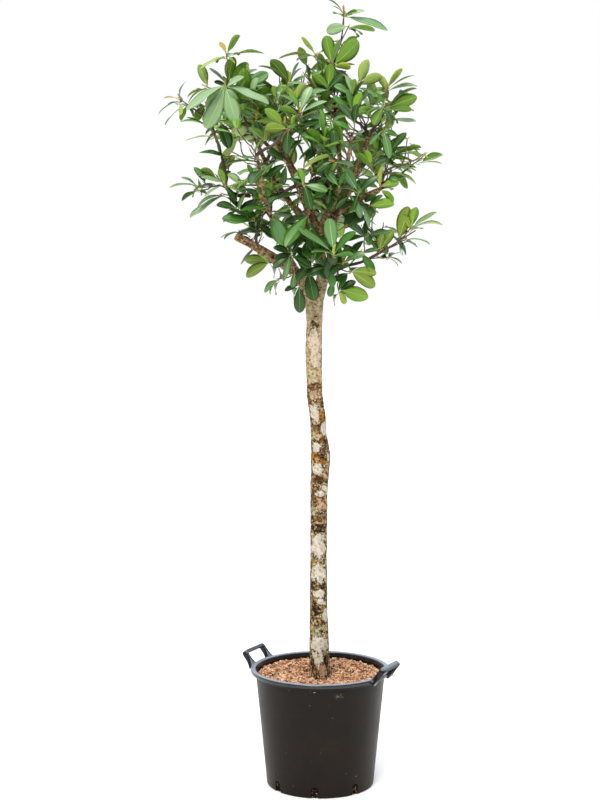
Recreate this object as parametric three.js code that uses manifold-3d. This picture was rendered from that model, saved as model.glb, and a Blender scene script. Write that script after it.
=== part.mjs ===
// A standard ornamental fig: a loose round crown on a tall clear stem, growing in a moulded nursery pot.
// Millimetres, +Z up. The origin is the centre of the pot's flat underside.
import * as THREE from "three";
import { mergeVertices } from "three/addons/utils/BufferGeometryUtils.js";
import Module from "manifold-3d";

const wasm = await Module();
wasm.setup();

// ---------------------------------------------------------------- driving dimensions

const FIT_GAP = 0.3; // clearance between two pieces that touch

// A 50 litre container: 45 cm over the lip and 38 cm high.
const POT = {
  height: 380,
  lipRadius: 226.5,
  lipWidth: 17,
  lipHeight: 13,
  ledgeHeight: 10,
  ledgeWidth: 3,
  wallTopRadius: 209,
  footRadius: 173.5,
  footBevel: 3,
  wall: 3,
  floor: 4,
  segments: 32,
};

const DRAIN = { count: 8, firstTurn: 218.5, width: 23, height: 37, depth: 40 };

const HANDLE = {
  turns: { handle_left: 152, handle_right: -28 },
  lean: 38, // degrees from upright, outwards
  rise: 48, // along the slope, from the rim to the top of the bar
  footHalf: 74,
  topHalf: 62,
  bar: 12,
  arm: 12,
  corner: 5,
  thickness: 20,
  footDrop: 16, // how far the feet run down the side of the lip
};

const SOIL = { level: 353, dishLevel: 342, dishRadius: 70, crumb: 3 };

// The stem's centre line and half thickness at heights above the floor.
const TRUNK = {
  base: SOIL.dishLevel + FIT_GAP,
  top: 1606,
  sides: 12,
  rings: 28,
  flare: 4, // extra radius of the root flare at the soil
  flareHeight: 60,
  ridges: 3,
  ridgeDepth: 3,
  stations: [
    { height: 340, x: 0, y: 0, radius: 31 },
    { height: 470, x: -4, y: 3, radius: 31 },
    { height: 600, x: -6, y: 6, radius: 29 },
    { height: 760, x: -6, y: 7, radius: 27 },
    { height: 940, x: -5, y: 3, radius: 28 },
    { height: 1070, x: 0, y: 0, radius: 31 },
    { height: 1170, x: -8, y: -4, radius: 25.5 },
    { height: 1290, x: -20, y: -5, radius: 25.5 },
    { height: 1420, x: -22, y: -2, radius: 27.5 },
    { height: 1500, x: -20, y: 0, radius: 26 },
    { height: 1610, x: -22, y: 0, radius: 31 },
  ],
};

const LIMB = { sides: 7, stepLength: 80 };

// Each bough runs through its points, from its thick end to the mass of leaves that it carries or to its pruned end.
const BOUGHS = {
  bough_left: { radii: [19, 12], through: [[-30, -2, 1570], [-68, -14, 1642], [-152, -46, 1706], [-266, -80, 1772]] },
  bough_centre: { radii: [21, 17], through: [[-12, 2, 1570], [6, 2, 1650], [-2, 2, 1715], [-6, 2, 1800]] },
  bough_upper_left: { radii: [15, 10], through: [[-6, 2, 1780], [-64, 20, 1920], [-106, 30, 2015], [-163, 30, 2112]] },
  bough_right: { radii: [15, 12], through: [[-4, 0, 1782], [30, -8, 1820], [82, -20, 1880]] },
  bough_right_upper: { radii: [8, 6], through: [[70, -18, 1862], [66, 0, 1930], [52, 20, 2120]] },
  bough_upper_right: { radii: [10, 9], through: [[72, -16, 1880], [102, 0, 1950], [150, 0, 2084]] },
  bough_right_stub: { radii: [11, 9], through: [[66, -22, 1862], [112, -50, 1884], [180, -80, 1914]] },
  bough_right_low: { radii: [8, 4], through: [[2, -6, 1640], [74, -24, 1676], [156, -20, 1702], [300, 0, 1790]] },
  bough_left_mid: { radii: [8, 4], through: [[-74, 22, 1935], [-150, 10, 1900], [-224, 0, 1900]] },
  bough_left_high: { radii: [9, 4], through: [[-104, 28, 2010], [-170, 10, 2060], [-250, 0, 2150], [-290, 0, 2230]] },
  bough_back_left: { radii: [13, 7], through: [[-4, 6, 1720], [-60, 110, 1830], [-150, 220, 1960], [-220, 290, 2110]] },
  bough_back_right: { radii: [13, 7], through: [[-2, 4, 1742], [60, 120, 1860], [120, 220, 1990], [160, 290, 2110]] },
  bough_front_left: { radii: [10, 5], through: [[-74, -22, 1660], [-130, -120, 1760], [-170, -210, 1880], [-195, -270, 2010]] },
  bough_front_right: { radii: [10, 5], through: [[0, -4, 1810], [40, -100, 1880], [75, -200, 1980], [90, -270, 2080]] },
  bough_top: { radii: [8, 5], through: [[54, 8, 2040], [44, 10, 2150], [42, 0, 2240]] },
  shoot_top: { radii: [5, 4], through: [[44, 0, 2330], [64, 0, 2390], [88, 0, 2450]] },
};

// Each mass of leaves: its middle and its half size along X, Y and Z.
const MASSES = {
  leaves_top_shoot: { at: [94, 0, 2451], half: [112, 82, 48] },
  leaves_top: { at: [43, 0, 2328], half: [100, 120, 66] },
  leaves_left_top: { at: [-280, 20, 2350], half: [100, 84, 46] },
  leaves_left_upper: { at: [-285, -40, 2220], half: [132, 165, 108] },
  leaves_far_left: { at: [-446, 40, 2190], half: [80, 95, 80] },
  leaves_centre_upper: { at: [-113, -80, 2205], half: [115, 165, 112] },
  leaves_mid_upper: { at: [50, -30, 2205], half: [110, 165, 105] },
  leaves_right_upper: { at: [205, 0, 2211], half: [110, 165, 106] },
  leaves_right_mid: { at: [252, 10, 2030], half: [122, 150, 95] },
  leaves_left_mid: { at: [-362, 0, 1922], half: [148, 130, 84] },
  leaves_left_inner: { at: [-204, -50, 1918], half: [90, 130, 100] },
  leaves_left_crook: { at: [-172, 40, 1800], half: [110, 100, 62] },
  leaves_centre: { at: [-40, -175, 1945], half: [96, 110, 108] },
  leaves_right_centre: { at: [150, -130, 1960], half: [94, 105, 76] },
  leaves_centre_low: { at: [15, -160, 1768], half: [115, 115, 88] },
  leaves_right_low: { at: [315, 0, 1795], half: [94, 92, 74] },
  leaves_right_inner_low: { at: [165, 50, 1795], half: [96, 115, 86] },
  leaves_left_low: { at: [-186, 30, 1672], half: [80, 80, 48] },
  leaves_under_front: { at: [-60, -92, 1608], half: [47, 56, 68] },
  leaves_under_right: { at: [100, 0, 1612], half: [86, 100, 58] },
  leaves_under_left: { at: [-146, -30, 1596], half: [46, 62, 54] },
  leaves_back_left: { at: [-225, 290, 2120], half: [165, 155, 155] },
  leaves_back_right: { at: [155, 290, 2110], half: [165, 155, 155] },
  leaves_back_low: { at: [-30, 280, 1880], half: [180, 145, 120] },
  leaves_back_top: { at: [-40, 210, 2290], half: [150, 140, 100] },
  leaves_front_left: { at: [-190, -285, 2030], half: [135, 125, 125] },
  leaves_front_right: { at: [90, -285, 2080], half: [135, 125, 125] },
  leaves_front_top: { at: [-50, -260, 2210], half: [120, 115, 85] },
};

const MASS_DETAIL = 2; // subdivisions of an icosahedron's faces
const LUMPS = { depth: 0.12, across: 4.2, along: 3.1 };

const FINISH = {
  pot: { color: "#32302c", roughness: 0.5 },
  soil: { color: "#b98d68", roughness: 1 },
  bark: { color: "#a39a85", roughness: 0.9 },
  leaf: { color: "#4b7f3d", roughness: 0.55 },
};

// ---------------------------------------------------------------- helpers

const radians = THREE.MathUtils.degToRad;

// A closed geometry as a solid that can be cut and joined.
function solidFrom(geometry) {
  const bare = geometry.clone();
  bare.deleteAttribute("normal");
  bare.deleteAttribute("uv");
  const merged = mergeVertices(bare, 1e-3);
  return new wasm.Manifold(
    new wasm.Mesh({
      numProp: 3,
      vertProperties: merged.attributes.position.array,
      triVerts: new Uint32Array(merged.index.array),
    }),
  );
}

function geometryFrom(solid) {
  const mesh = solid.getMesh();
  const geometry = new THREE.BufferGeometry();
  geometry.setAttribute("position", new THREE.BufferAttribute(mesh.vertProperties, 3));
  geometry.setIndex(new THREE.BufferAttribute(mesh.triVerts, 1));
  geometry.computeVertexNormals();
  return geometry;
}

function largestBody(solid) {
  return solid.decompose().reduce((best, body) => (body.volume() > best.volume() ? body : best));
}

function piece(name, solid, finish) {
  const material = new THREE.MeshStandardMaterial({ ...finish, metalness: 0 });
  const mesh = new THREE.Mesh(geometryFrom(solid), material);
  mesh.name = name;
  return mesh;
}

// A profile of [radius, height] turned about the Z axis.
function turned(profile, segments) {
  const points = profile.map(([radius, height]) => new THREE.Vector2(radius, height));
  return new THREE.LatheGeometry(points, segments).rotateX(Math.PI / 2);
}

// Values of a list of stations, smoothly joined, at a height.
function stationAt(stations, height) {
  const above = Math.max(1, stations.findIndex((s) => s.height >= height));
  const low = stations[above - 1];
  const high = stations[above];
  const share = THREE.MathUtils.smoothstep(height, low.height, high.height);
  const between = (key) => THREE.MathUtils.lerp(low[key], high[key], share);
  return { x: between("x"), y: between("y"), radius: between("radius") };
}

// ---------------------------------------------------------------- pot

// The radius of the pot's outer wall at a height.
function wallRadius(height) {
  const wallTop = POT.height - POT.lipHeight - POT.ledgeHeight;
  return THREE.MathUtils.mapLinear(height, 0, wallTop, POT.footRadius, POT.wallTopRadius);
}

// The outside of the pot, from the middle of its underside to the inner edge of the lip, grown by a clearance.
function potOutside(grow) {
  const lipBottom = POT.height - POT.lipHeight;
  const ledgeBottom = lipBottom - POT.ledgeHeight;
  const ledgeRadius = POT.wallTopRadius + POT.ledgeWidth;
  const innerEdge = POT.lipRadius - POT.lipWidth;
  return [
    [0, -grow],
    [POT.footRadius - POT.footBevel, -grow],
    [POT.footRadius + grow, POT.footBevel],
    [wallRadius(ledgeBottom) + grow, ledgeBottom - grow],
    [ledgeRadius + grow, ledgeBottom + POT.ledgeWidth - grow],
    [ledgeRadius + grow, lipBottom - grow],
    [POT.lipRadius - 3 + grow, lipBottom - grow],
    [POT.lipRadius + grow, lipBottom + 3],
    [POT.lipRadius + grow, POT.height - 4],
    [POT.lipRadius - 4, POT.height + grow],
    [innerEdge + 3, POT.height + grow],
  ];
}

function drainSlot(turn) {
  const half = DRAIN.width / 2;
  const outline = new THREE.Shape();
  outline.moveTo(-half, -POT.floor);
  outline.lineTo(half, -POT.floor);
  outline.lineTo(half, DRAIN.height - half);
  outline.absarc(0, DRAIN.height - half, half, 0, Math.PI, false);
  outline.closePath();
  const slot = new THREE.ExtrudeGeometry(outline, { depth: DRAIN.depth, bevelEnabled: false, curveSegments: 4 });
  slot.rotateX(Math.PI / 2);
  slot.translate(0, POT.footRadius + DRAIN.depth / 2, 0);
  slot.rotateZ(radians(turn - 90));
  return solidFrom(slot);
}

function makePot() {
  const innerEdge = POT.lipRadius - POT.lipWidth;
  const inside = [
    [innerEdge, POT.height - 3],
    [POT.wallTopRadius, POT.height - POT.lipHeight],
    [wallRadius(SOIL.level) - POT.wall, SOIL.level],
    [wallRadius(POT.floor) - POT.wall, POT.floor],
    [0, POT.floor],
  ];
  let pot = solidFrom(turned([...potOutside(0), ...inside], POT.segments));
  for (let slot = 0; slot < DRAIN.count; slot++) {
    pot = pot.subtract(drainSlot(DRAIN.firstTurn + (slot * 360) / DRAIN.count));
  }
  return piece("pot", pot, FINISH.pot);
}

// The outline of a bail handle in its own slanted plane: two flared feet, two arms and the bar.
function handleOutline() {
  const { rise, footHalf, topHalf, bar, arm, corner, footDrop } = HANDLE;
  const waist = rise * 0.4;
  const inner = topHalf - arm;
  const outline = new THREE.Shape();
  outline.moveTo(-footHalf, -footDrop);
  outline.quadraticCurveTo(-topHalf - 3, 0, -topHalf - 2, waist);
  outline.lineTo(-topHalf, rise - corner);
  outline.quadraticCurveTo(-topHalf, rise, -topHalf + corner, rise);
  outline.lineTo(topHalf - corner, rise);
  outline.quadraticCurveTo(topHalf, rise, topHalf, rise - corner);
  outline.lineTo(topHalf + 2, waist);
  outline.quadraticCurveTo(topHalf + 3, 0, footHalf, -footDrop);
  outline.lineTo(inner - 10, -footDrop);
  outline.quadraticCurveTo(inner, 0, inner, waist);
  outline.lineTo(inner, rise - bar);
  outline.lineTo(-inner, rise - bar);
  outline.lineTo(-inner, waist);
  outline.quadraticCurveTo(-inner, 0, -inner + 10, -footDrop);
  outline.closePath();
  return outline;
}

function makeHandle(name, turn) {
  const { lean, thickness } = HANDLE;
  const plate = new THREE.ExtrudeGeometry(handleOutline(), {
    depth: thickness,
    bevelEnabled: false,
    curveSegments: 3,
  });
  plate.translate(0, 0, -thickness / 2);
  const out = new THREE.Vector3(Math.cos(radians(turn)), Math.sin(radians(turn)), 0);
  const along = new THREE.Vector3(-out.y, out.x, 0);
  const slope = out.clone().multiplyScalar(Math.sin(radians(lean))).setZ(Math.cos(radians(lean)));
  const facing = new THREE.Vector3().crossVectors(along, slope);
  plate.applyMatrix4(new THREE.Matrix4().makeBasis(along, slope, facing));
  const foot = out.clone().multiplyScalar(POT.lipRadius - 2).setZ(POT.height - 2);
  plate.translate(foot.x, foot.y, foot.z);
  const filled = [...potOutside(FIT_GAP), [0, POT.height + FIT_GAP]];
  const cut = solidFrom(plate).subtract(solidFrom(turned(filled, POT.segments)));
  return piece(name, largestBody(cut), FINISH.pot);
}

// ---------------------------------------------------------------- soil

function makeSoil() {
  const inner = (height) => wallRadius(height) - POT.wall - FIT_GAP;
  const bottom = POT.floor + FIT_GAP;
  const ring = (share) => THREE.MathUtils.lerp(SOIL.dishRadius, inner(SOIL.level), share);
  const profile = [
    [0, bottom],
    [inner(bottom), bottom],
    [inner(SOIL.level - 3) - FIT_GAP, SOIL.level - 3],
    [ring(0.66), SOIL.level],
    [ring(0.33), SOIL.level - 1],
    [SOIL.dishRadius, SOIL.dishLevel],
    [0, SOIL.dishLevel],
  ];
  const soil = turned(profile, POT.segments);
  const position = soil.attributes.position;
  for (let i = 0; i < position.count; i++) {
    const onTop = position.getZ(i) > SOIL.dishLevel + 2;
    const crumble = Math.sin(position.getX(i) * 0.09) * Math.cos(position.getY(i) * 0.07 + 1);
    if (onTop) position.setZ(i, position.getZ(i) + SOIL.crumb * crumble);
  }
  return piece("soil", solidFrom(soil), FINISH.soil);
}

// ---------------------------------------------------------------- trunk and boughs

function trunkGeometry(grow) {
  const { base, top, sides, rings, flare, flareHeight, ridges, ridgeDepth, stations } = TRUNK;
  const geometry = new THREE.CylinderGeometry(1, 1, 1, sides, rings).rotateX(Math.PI / 2);
  const position = geometry.attributes.position;
  for (let i = 0; i < position.count; i++) {
    const height = THREE.MathUtils.lerp(base - grow, top + grow, position.getZ(i) + 0.5);
    const angle = Math.atan2(position.getY(i), position.getX(i));
    const reach = Math.hypot(position.getX(i), position.getY(i));
    const stem = stationAt(stations, height);
    const spread = Math.exp(-(height - base) / flareHeight);
    const ridge = ridgeDepth * Math.sin(ridges * angle);
    const radius = reach * (stem.radius + grow + spread * (flare + ridge));
    position.setXYZ(i, stem.x + radius * Math.cos(angle), stem.y + radius * Math.sin(angle), height);
  }
  return geometry;
}

// One tapering limb along a smooth curve through its points.
function limbGeometry({ radii, through }, grow) {
  const curve = new THREE.CatmullRomCurve3(through.map((point) => new THREE.Vector3(...point)), false, "centripetal");
  const steps = Math.max(2, Math.round(curve.getLength() / LIMB.stepLength));
  const frames = curve.computeFrenetFrames(steps);
  const geometry = new THREE.CylinderGeometry(1, 1, 1, LIMB.sides, steps);
  const position = geometry.attributes.position;
  for (let i = 0; i < position.count; i++) {
    const share = position.getY(i) + 0.5;
    const step = Math.round(share * steps);
    const radius = THREE.MathUtils.lerp(radii[0], radii[1], share) + grow;
    const point = curve.getPointAt(step / steps);
    point.addScaledVector(frames.binormals[step], position.getX(i) * radius);
    point.addScaledVector(frames.normals[step], position.getZ(i) * radius);
    if (step === 0) point.addScaledVector(frames.tangents[0], -grow);
    if (step === steps) point.addScaledVector(frames.tangents[steps], grow);
    position.setXYZ(i, point.x, point.y, point.z);
  }
  return geometry;
}

// ---------------------------------------------------------------- masses of leaves

// How far an ellipsoid of half sizes reaches from its middle along a direction.
function ellipsoidReach(half, direction) {
  const [a, b, c] = half;
  return 1 / Math.hypot(direction.x / a, direction.y / b, direction.z / c);
}

// The planes halfway to the neighbours, in proportion to both sizes, which keep two masses apart.
function dividingPlanes(name) {
  const own = MASSES[name];
  const middle = new THREE.Vector3(...own.at);
  return Object.keys(MASSES)
    .filter((other) => other !== name)
    .map((other) => {
      const toward = new THREE.Vector3(...MASSES[other].at).sub(middle);
      const distance = toward.length();
      toward.normalize();
      const ownReach = ellipsoidReach(own.half, toward);
      const share = ownReach / (ownReach + ellipsoidReach(MASSES[other].half, toward));
      return { toward, offset: distance * share - FIT_GAP };
    });
}

// An uneven round solid, flattened where it meets its neighbours.
function massSolid(name, grow) {
  const { at, half } = MASSES[name];
  const phase = Object.keys(MASSES).indexOf(name) * 1.7;
  const planes = dividingPlanes(name);
  const geometry = new THREE.IcosahedronGeometry(1, MASS_DETAIL);
  const position = geometry.attributes.position;
  for (let i = 0; i < position.count; i++) {
    const direction = new THREE.Vector3().fromBufferAttribute(position, i).normalize();
    const across = Math.sin(LUMPS.across * direction.x + phase) * Math.cos(LUMPS.across * direction.y - phase);
    const along = Math.sin(LUMPS.along * direction.z + 2 * phase);
    let reach = ellipsoidReach(half, direction) * (1 + LUMPS.depth * across + (LUMPS.depth / 2) * along);
    for (const { toward, offset } of planes) {
      const facing = direction.dot(toward);
      if (facing > 0) reach = Math.min(reach, offset / facing);
    }
    direction.multiplyScalar(reach + grow);
    position.setXYZ(i, at[0] + direction.x, at[1] + direction.y, at[2] + direction.z);
  }
  return solidFrom(geometry);
}

// ---------------------------------------------------------------- assembly

const tree = new THREE.Group();
tree.name = "standard_fig";

tree.add(makePot());
for (const [name, turn] of Object.entries(HANDLE.turns)) tree.add(makeHandle(name, turn));
tree.add(makeSoil());
tree.add(piece("trunk", solidFrom(trunkGeometry(0)), FINISH.bark));

// Each bough starts on the limbs before it and ends where it enters its mass of leaves.
const grownLimbs = [solidFrom(trunkGeometry(FIT_GAP))];
for (const [name, bough] of Object.entries(BOUGHS)) {
  let limb = solidFrom(limbGeometry(bough, 0));
  for (const earlier of grownLimbs) limb = limb.subtract(earlier);
  for (const mass of Object.keys(MASSES)) limb = limb.subtract(massSolid(mass, 2 * FIT_GAP));
  tree.add(piece(name, largestBody(limb), FINISH.bark));
  grownLimbs.push(solidFrom(limbGeometry(bough, FIT_GAP)));
}

const trunkSpace = grownLimbs[0];
for (const name of Object.keys(MASSES)) {
  const mass = massSolid(name, 0).subtract(trunkSpace);
  tree.add(piece(name, largestBody(mass), FINISH.leaf));
}

export default tree;
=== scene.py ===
"""A standard ornamental fig in its nursery pot: a loose crown of leathery leaves on a tall lichened stem.

Metres, +Z up, the front towards -Y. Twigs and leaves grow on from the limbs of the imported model.
"""

import math

import bmesh
import bpy
import numpy as np
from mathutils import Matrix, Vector, noise
from mathutils.bvhtree import BVHTree


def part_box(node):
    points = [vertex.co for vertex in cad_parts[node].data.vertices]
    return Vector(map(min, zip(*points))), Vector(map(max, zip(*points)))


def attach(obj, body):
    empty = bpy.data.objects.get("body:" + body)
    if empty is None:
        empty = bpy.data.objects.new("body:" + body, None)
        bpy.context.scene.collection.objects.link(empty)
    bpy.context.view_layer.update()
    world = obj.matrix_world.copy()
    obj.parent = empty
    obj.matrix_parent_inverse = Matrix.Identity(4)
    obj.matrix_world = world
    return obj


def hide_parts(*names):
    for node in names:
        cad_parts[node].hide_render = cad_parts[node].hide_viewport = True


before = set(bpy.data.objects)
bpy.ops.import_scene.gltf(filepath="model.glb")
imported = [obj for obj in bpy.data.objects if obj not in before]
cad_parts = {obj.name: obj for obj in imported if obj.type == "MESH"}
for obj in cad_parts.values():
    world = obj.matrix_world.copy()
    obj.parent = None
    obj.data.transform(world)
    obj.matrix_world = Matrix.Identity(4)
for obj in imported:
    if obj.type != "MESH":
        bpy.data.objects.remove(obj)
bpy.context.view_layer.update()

# ------------------------------------------------------------------ driving measures

MM = 0.001
UP = np.array([0.0, 0.0, 1.0])

POT_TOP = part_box("pot")[1].z
LIP_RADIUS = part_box("pot")[1].x
LIP_WIDTH = 17 * MM
LIP_HEIGHT = 13 * MM
LEDGE_HEIGHT = 10 * MM
LEDGE_WIDTH = 3 * MM
WALL_TOP_RADIUS = 209 * MM
FOOT_RADIUS = 173.5 * MM
WALL = 3 * MM
FLOOR_THICKNESS = 4 * MM
POT_SEGMENTS = 192
SCUFF_PLACE = (0.056, -0.201, 0.337)  # a rubbed patch high on the front of the wall

DRAIN_TURNS = [218.5 + slot * 360 / 8 for slot in range(8)]
DRAIN_WIDTH = 23 * MM
DRAIN_HEIGHT = 37 * MM
VENT_HEIGHT = 62 * MM

HANDLES = {"handle_left": 152, "handle_right": -28}
HANDLE_LEAN = 38
HANDLE_RISE = 48 * MM
HANDLE_ARM_PLACE = 56 * MM
HANDLE_FOOT_SPREAD = 1.5 * MM

SOIL_LEVEL = 353 * MM
DISH_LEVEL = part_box("trunk")[0].z
DISH_RADIUS = 70 * MM
CHIP_COUNT = 4600
ROOTS_PER_SLOT = 15
ROOT_START = ((0.1665, -0.010, 0.006), (0.1710, 0.010, 0.034))  # the corners of the space behind a slot
ROOT_ROOM = ((0.1655, -0.0112, 0.0055), (0.1722, 0.0112, 0.0350))

# The stem's centre line and half thickness in mm: height, x, y, radius.
STEM = (
    np.array([
        (340, 0, 0, 31),
        (470, -4, 3, 31),
        (600, -6, 6, 29),
        (760, -6, 7, 27),
        (940, -5, 3, 28),
        (1070, 0, 0, 31),
        (1170, -8, -4, 25.5),
        (1290, -20, -5, 25.5),
        (1420, -22, -2, 27.5),
        (1500, -20, 0, 26),
        (1610, -22, 0, 31),
    ])
    / 1000
)
STEM_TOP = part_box("trunk")[1].z

# Each bough's two half thicknesses and the points that it runs through, in mm.
BOUGHS = {
    "bough_left": ((19, 12), [(-30, -2, 1570), (-68, -14, 1642), (-152, -46, 1706), (-266, -80, 1772)]),
    "bough_centre": ((21, 17), [(-12, 2, 1570), (6, 2, 1650), (-2, 2, 1715), (-6, 2, 1800)]),
    "bough_upper_left": ((15, 10), [(-6, 2, 1780), (-64, 20, 1920), (-106, 30, 2015), (-163, 30, 2112)]),
    "bough_right": ((15, 12), [(-4, 0, 1782), (30, -8, 1820), (82, -20, 1880)]),
    "bough_right_upper": ((8, 6), [(70, -18, 1862), (66, 0, 1930), (52, 20, 2120)]),
    "bough_upper_right": ((10, 9), [(72, -16, 1880), (102, 0, 1950), (150, 0, 2084)]),
    "bough_right_stub": ((11, 9), [(66, -22, 1862), (112, -50, 1884), (180, -80, 1914)]),
    "bough_right_low": ((8, 4), [(2, -6, 1640), (74, -24, 1676), (156, -20, 1702), (300, 0, 1790)]),
    "bough_left_mid": ((8, 4), [(-74, 22, 1935), (-150, 10, 1900), (-224, 0, 1900)]),
    "bough_left_high": ((9, 4), [(-104, 28, 2010), (-170, 10, 2060), (-250, 0, 2150), (-290, 0, 2230)]),
    "bough_back_left": ((13, 7), [(-4, 6, 1720), (-60, 110, 1830), (-150, 220, 1960), (-220, 290, 2110)]),
    "bough_back_right": ((13, 7), [(-2, 4, 1742), (60, 120, 1860), (120, 220, 1990), (160, 290, 2110)]),
    "bough_front_left": (
        (10, 5),
        [(-74, -22, 1660), (-130, -120, 1760), (-170, -210, 1880), (-195, -270, 2010)],
    ),
    "bough_front_right": ((10, 5), [(0, -4, 1810), (40, -100, 1880), (75, -200, 1980), (90, -270, 2080)]),
    "bough_top": ((8, 5), [(54, 8, 2040), (44, 10, 2150), (42, 0, 2240)]),
    "shoot_top": ((5, 4), [(42, 0, 2240), (44, 0, 2330), (64, 0, 2390), (70, 0, 2452)]),
}
THIN_BOUGHS = ("bough_right_low", "bough_left_mid", "bough_left_high", "bough_top", "shoot_top")
PRUNED_ENDS = ("bough_left", "bough_upper_left", "bough_upper_right", "bough_right_stub")
SHOWN_BOUGHS = ("bough_left", "bough_upper_left", "bough_right", "bough_right_stub", "bough_upper_right")

# ------------------------------------------------------------------ helpers


def linear(hex_colour):
    """An sRGB hex colour as linear red, green, blue and alpha."""
    channels = [int(hex_colour[i : i + 2], 16) / 255 for i in (1, 3, 5)]
    return [c / 12.92 if c <= 0.04045 else ((c + 0.055) / 1.055) ** 2.4 for c in channels] + [1.0]


def add(tree, kind, inputs=None, out=0, stops=(), **settings):
    """Adds one node and returns one of its outputs.

    Each input is a value, a hex colour or a link, stops are a ramp's (place, hex colour) stops, and settings
    are the node's own properties.
    """
    node = tree.nodes.new("ShaderNode" + kind)
    for name, value in settings.items():
        setattr(node, name, value)
    for key, value in (inputs or {}).items():
        if isinstance(value, bpy.types.NodeSocket):
            tree.links.new(value, node.inputs[key])
        else:
            node.inputs[key].default_value = linear(value) if isinstance(value, str) else value
    if stops:
        elements = node.color_ramp.elements
        while len(elements) < len(stops):
            elements.new(0.5)
        for element, (place, colour) in zip(elements, stops):
            element.position = place
            element.color = linear(colour)
    return node.outputs[out]


def finish(name, colour, roughness, **sockets):
    """A material with its Principled shader set, and its node tree."""
    material = bpy.data.materials.new(name)
    material.use_nodes = True
    shader = material.node_tree.nodes["Principled BSDF"]
    shader.inputs["Base Color"].default_value = linear(colour)
    shader.inputs["Roughness"].default_value = roughness
    for key, value in sockets.items():
        shader.inputs[key.replace("_", " ")].default_value = value
    return material, material.node_tree


def dressed(material, **links):
    """The material, with what its nodes make linked to its shader."""
    tree = material.node_tree
    for key, made in links.items():
        tree.links.new(made, tree.nodes["Principled BSDF"].inputs[key.replace("_", " ")])
    return material


def relief(tree, scale, strength, depth, detail=2.0):
    """A fine even relief over a piece: so many grains to the metre, this strong and this deep."""
    place = add(tree, "TexCoord", out="Object")
    grains = add(tree, "TexNoise", {"Vector": place, "Scale": scale, "Detail": detail})
    return add(tree, "Bump", {"Height": grains, "Strength": strength, "Distance": depth})


def grained(name, colour, roughness, grain, **sockets):
    """A plain material with a fine relief."""
    material, tree = finish(name, colour, roughness, **sockets)
    return dressed(material, Normal=relief(tree, *grain))


def unit(vectors):
    """Vectors at length one."""
    vectors = np.asarray(vectors, float)
    return vectors / np.maximum(np.linalg.norm(vectors, axis=-1, keepdims=True), 1e-9)


def smooth_share(value, low, high):
    """0 below low, 1 above high, and a smooth step between."""
    t = np.clip((np.asarray(value, float) - low) / (high - low), 0, 1)
    return t * t * (3 - 2 * t)


class Joined:
    """Collects many small forms that become one piece, each face with the number of its finish."""

    def __init__(self):
        self.points = []
        self.faces = []
        self.finishes = []
        self.maps = []
        self.count = 0

    def take(self, points, faces, which, blade_map=None):
        """Adds one form, with one finish for all its faces or one for each."""
        self.points.append(np.asarray(points, float))
        self.faces.extend([[self.count + corner for corner in face] for face in faces])
        self.finishes.extend([which] * len(faces) if isinstance(which, int) else which)
        if blade_map is not None:
            self.maps.append(blade_map)
        self.count += len(points)

    def piece(self, name, materials, smooth=True):
        """Everything taken so far as one mesh object."""
        points = np.concatenate(self.points)
        made = piece_of(name, points.tolist(), self.faces, materials, smooth)
        made.data.polygons.foreach_set("material_index", self.finishes)
        if self.maps:
            corners = np.zeros(len(made.data.loops), np.int32)
            made.data.loops.foreach_get("vertex_index", corners)
            layer = made.data.uv_layers.new(name="blade")
            layer.uv.foreach_set("vector", np.concatenate(self.maps)[corners].astype(np.float32).ravel())
        return made


def piece_of(name, points, faces, materials, smooth=True):
    """A mesh object from its points and faces."""
    mesh = bpy.data.meshes.new(name)
    mesh.from_pydata(points, [], faces)
    mesh.update()
    made = bpy.data.objects.new(name, mesh)
    bpy.context.scene.collection.objects.link(made)
    for material in materials:
        mesh.materials.append(material)
    mesh.polygons.foreach_set("use_smooth", [smooth] * len(mesh.polygons))
    return made


def applied(made, kind, **settings):
    """Adds a modifier to a piece and bakes its result into the mesh."""
    modifier = made.modifiers.new(kind.lower(), kind)
    for name, value in settings.items():
        setattr(modifier, name, value)
    bpy.context.view_layer.update()
    changed = bpy.data.meshes.new_from_object(made.evaluated_get(bpy.context.evaluated_depsgraph_get()))
    made.modifiers.clear()
    made.data = changed
    return made


def turned(profile, segments):
    """Points and faces of a profile of (radius, height) turned about the Z axis, closed on itself."""
    turns = np.linspace(0, 2 * math.pi, segments, endpoint=False)
    points = []
    rows = []
    for radius, height in profile:
        if radius < 1e-6:
            rows.append([len(points)] * segments)
            points.append((0.0, 0.0, height))
        else:
            rows.append(list(range(len(points), len(points) + segments)))
            points.extend((radius * math.cos(t), radius * math.sin(t), height) for t in turns)
    faces = []
    for low, high in zip(rows, rows[1:]):
        for i in range(segments):
            j = (i + 1) % segments
            corners = [low[i], low[j], high[j], high[i]]
            face = [c for k, c in enumerate(corners) if c not in corners[:k]]
            if len(face) > 2:
                faces.append(face)
    return points, faces


def rounded(profile, radii, steps=4):
    """An open outline with each inner corner turned into a short arc of the given radius."""
    out = [profile[0]]
    for before, corner, after, radius in zip(profile, profile[1:], profile[2:], radii):
        before, corner, after = np.array(before), np.array(corner), np.array(after)
        back = min(radius, 0.45 * np.linalg.norm(before - corner), 0.45 * np.linalg.norm(after - corner))
        start = corner + back * unit(before - corner)
        end = corner + back * unit(after - corner)
        if back < 1e-5:
            out.append(tuple(corner))
            continue
        for t in np.linspace(0, 1, steps + 1):
            out.append(tuple((1 - t) ** 2 * start + 2 * t * (1 - t) * corner + t * t * end))
    out.append(profile[-1])
    return out


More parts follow.
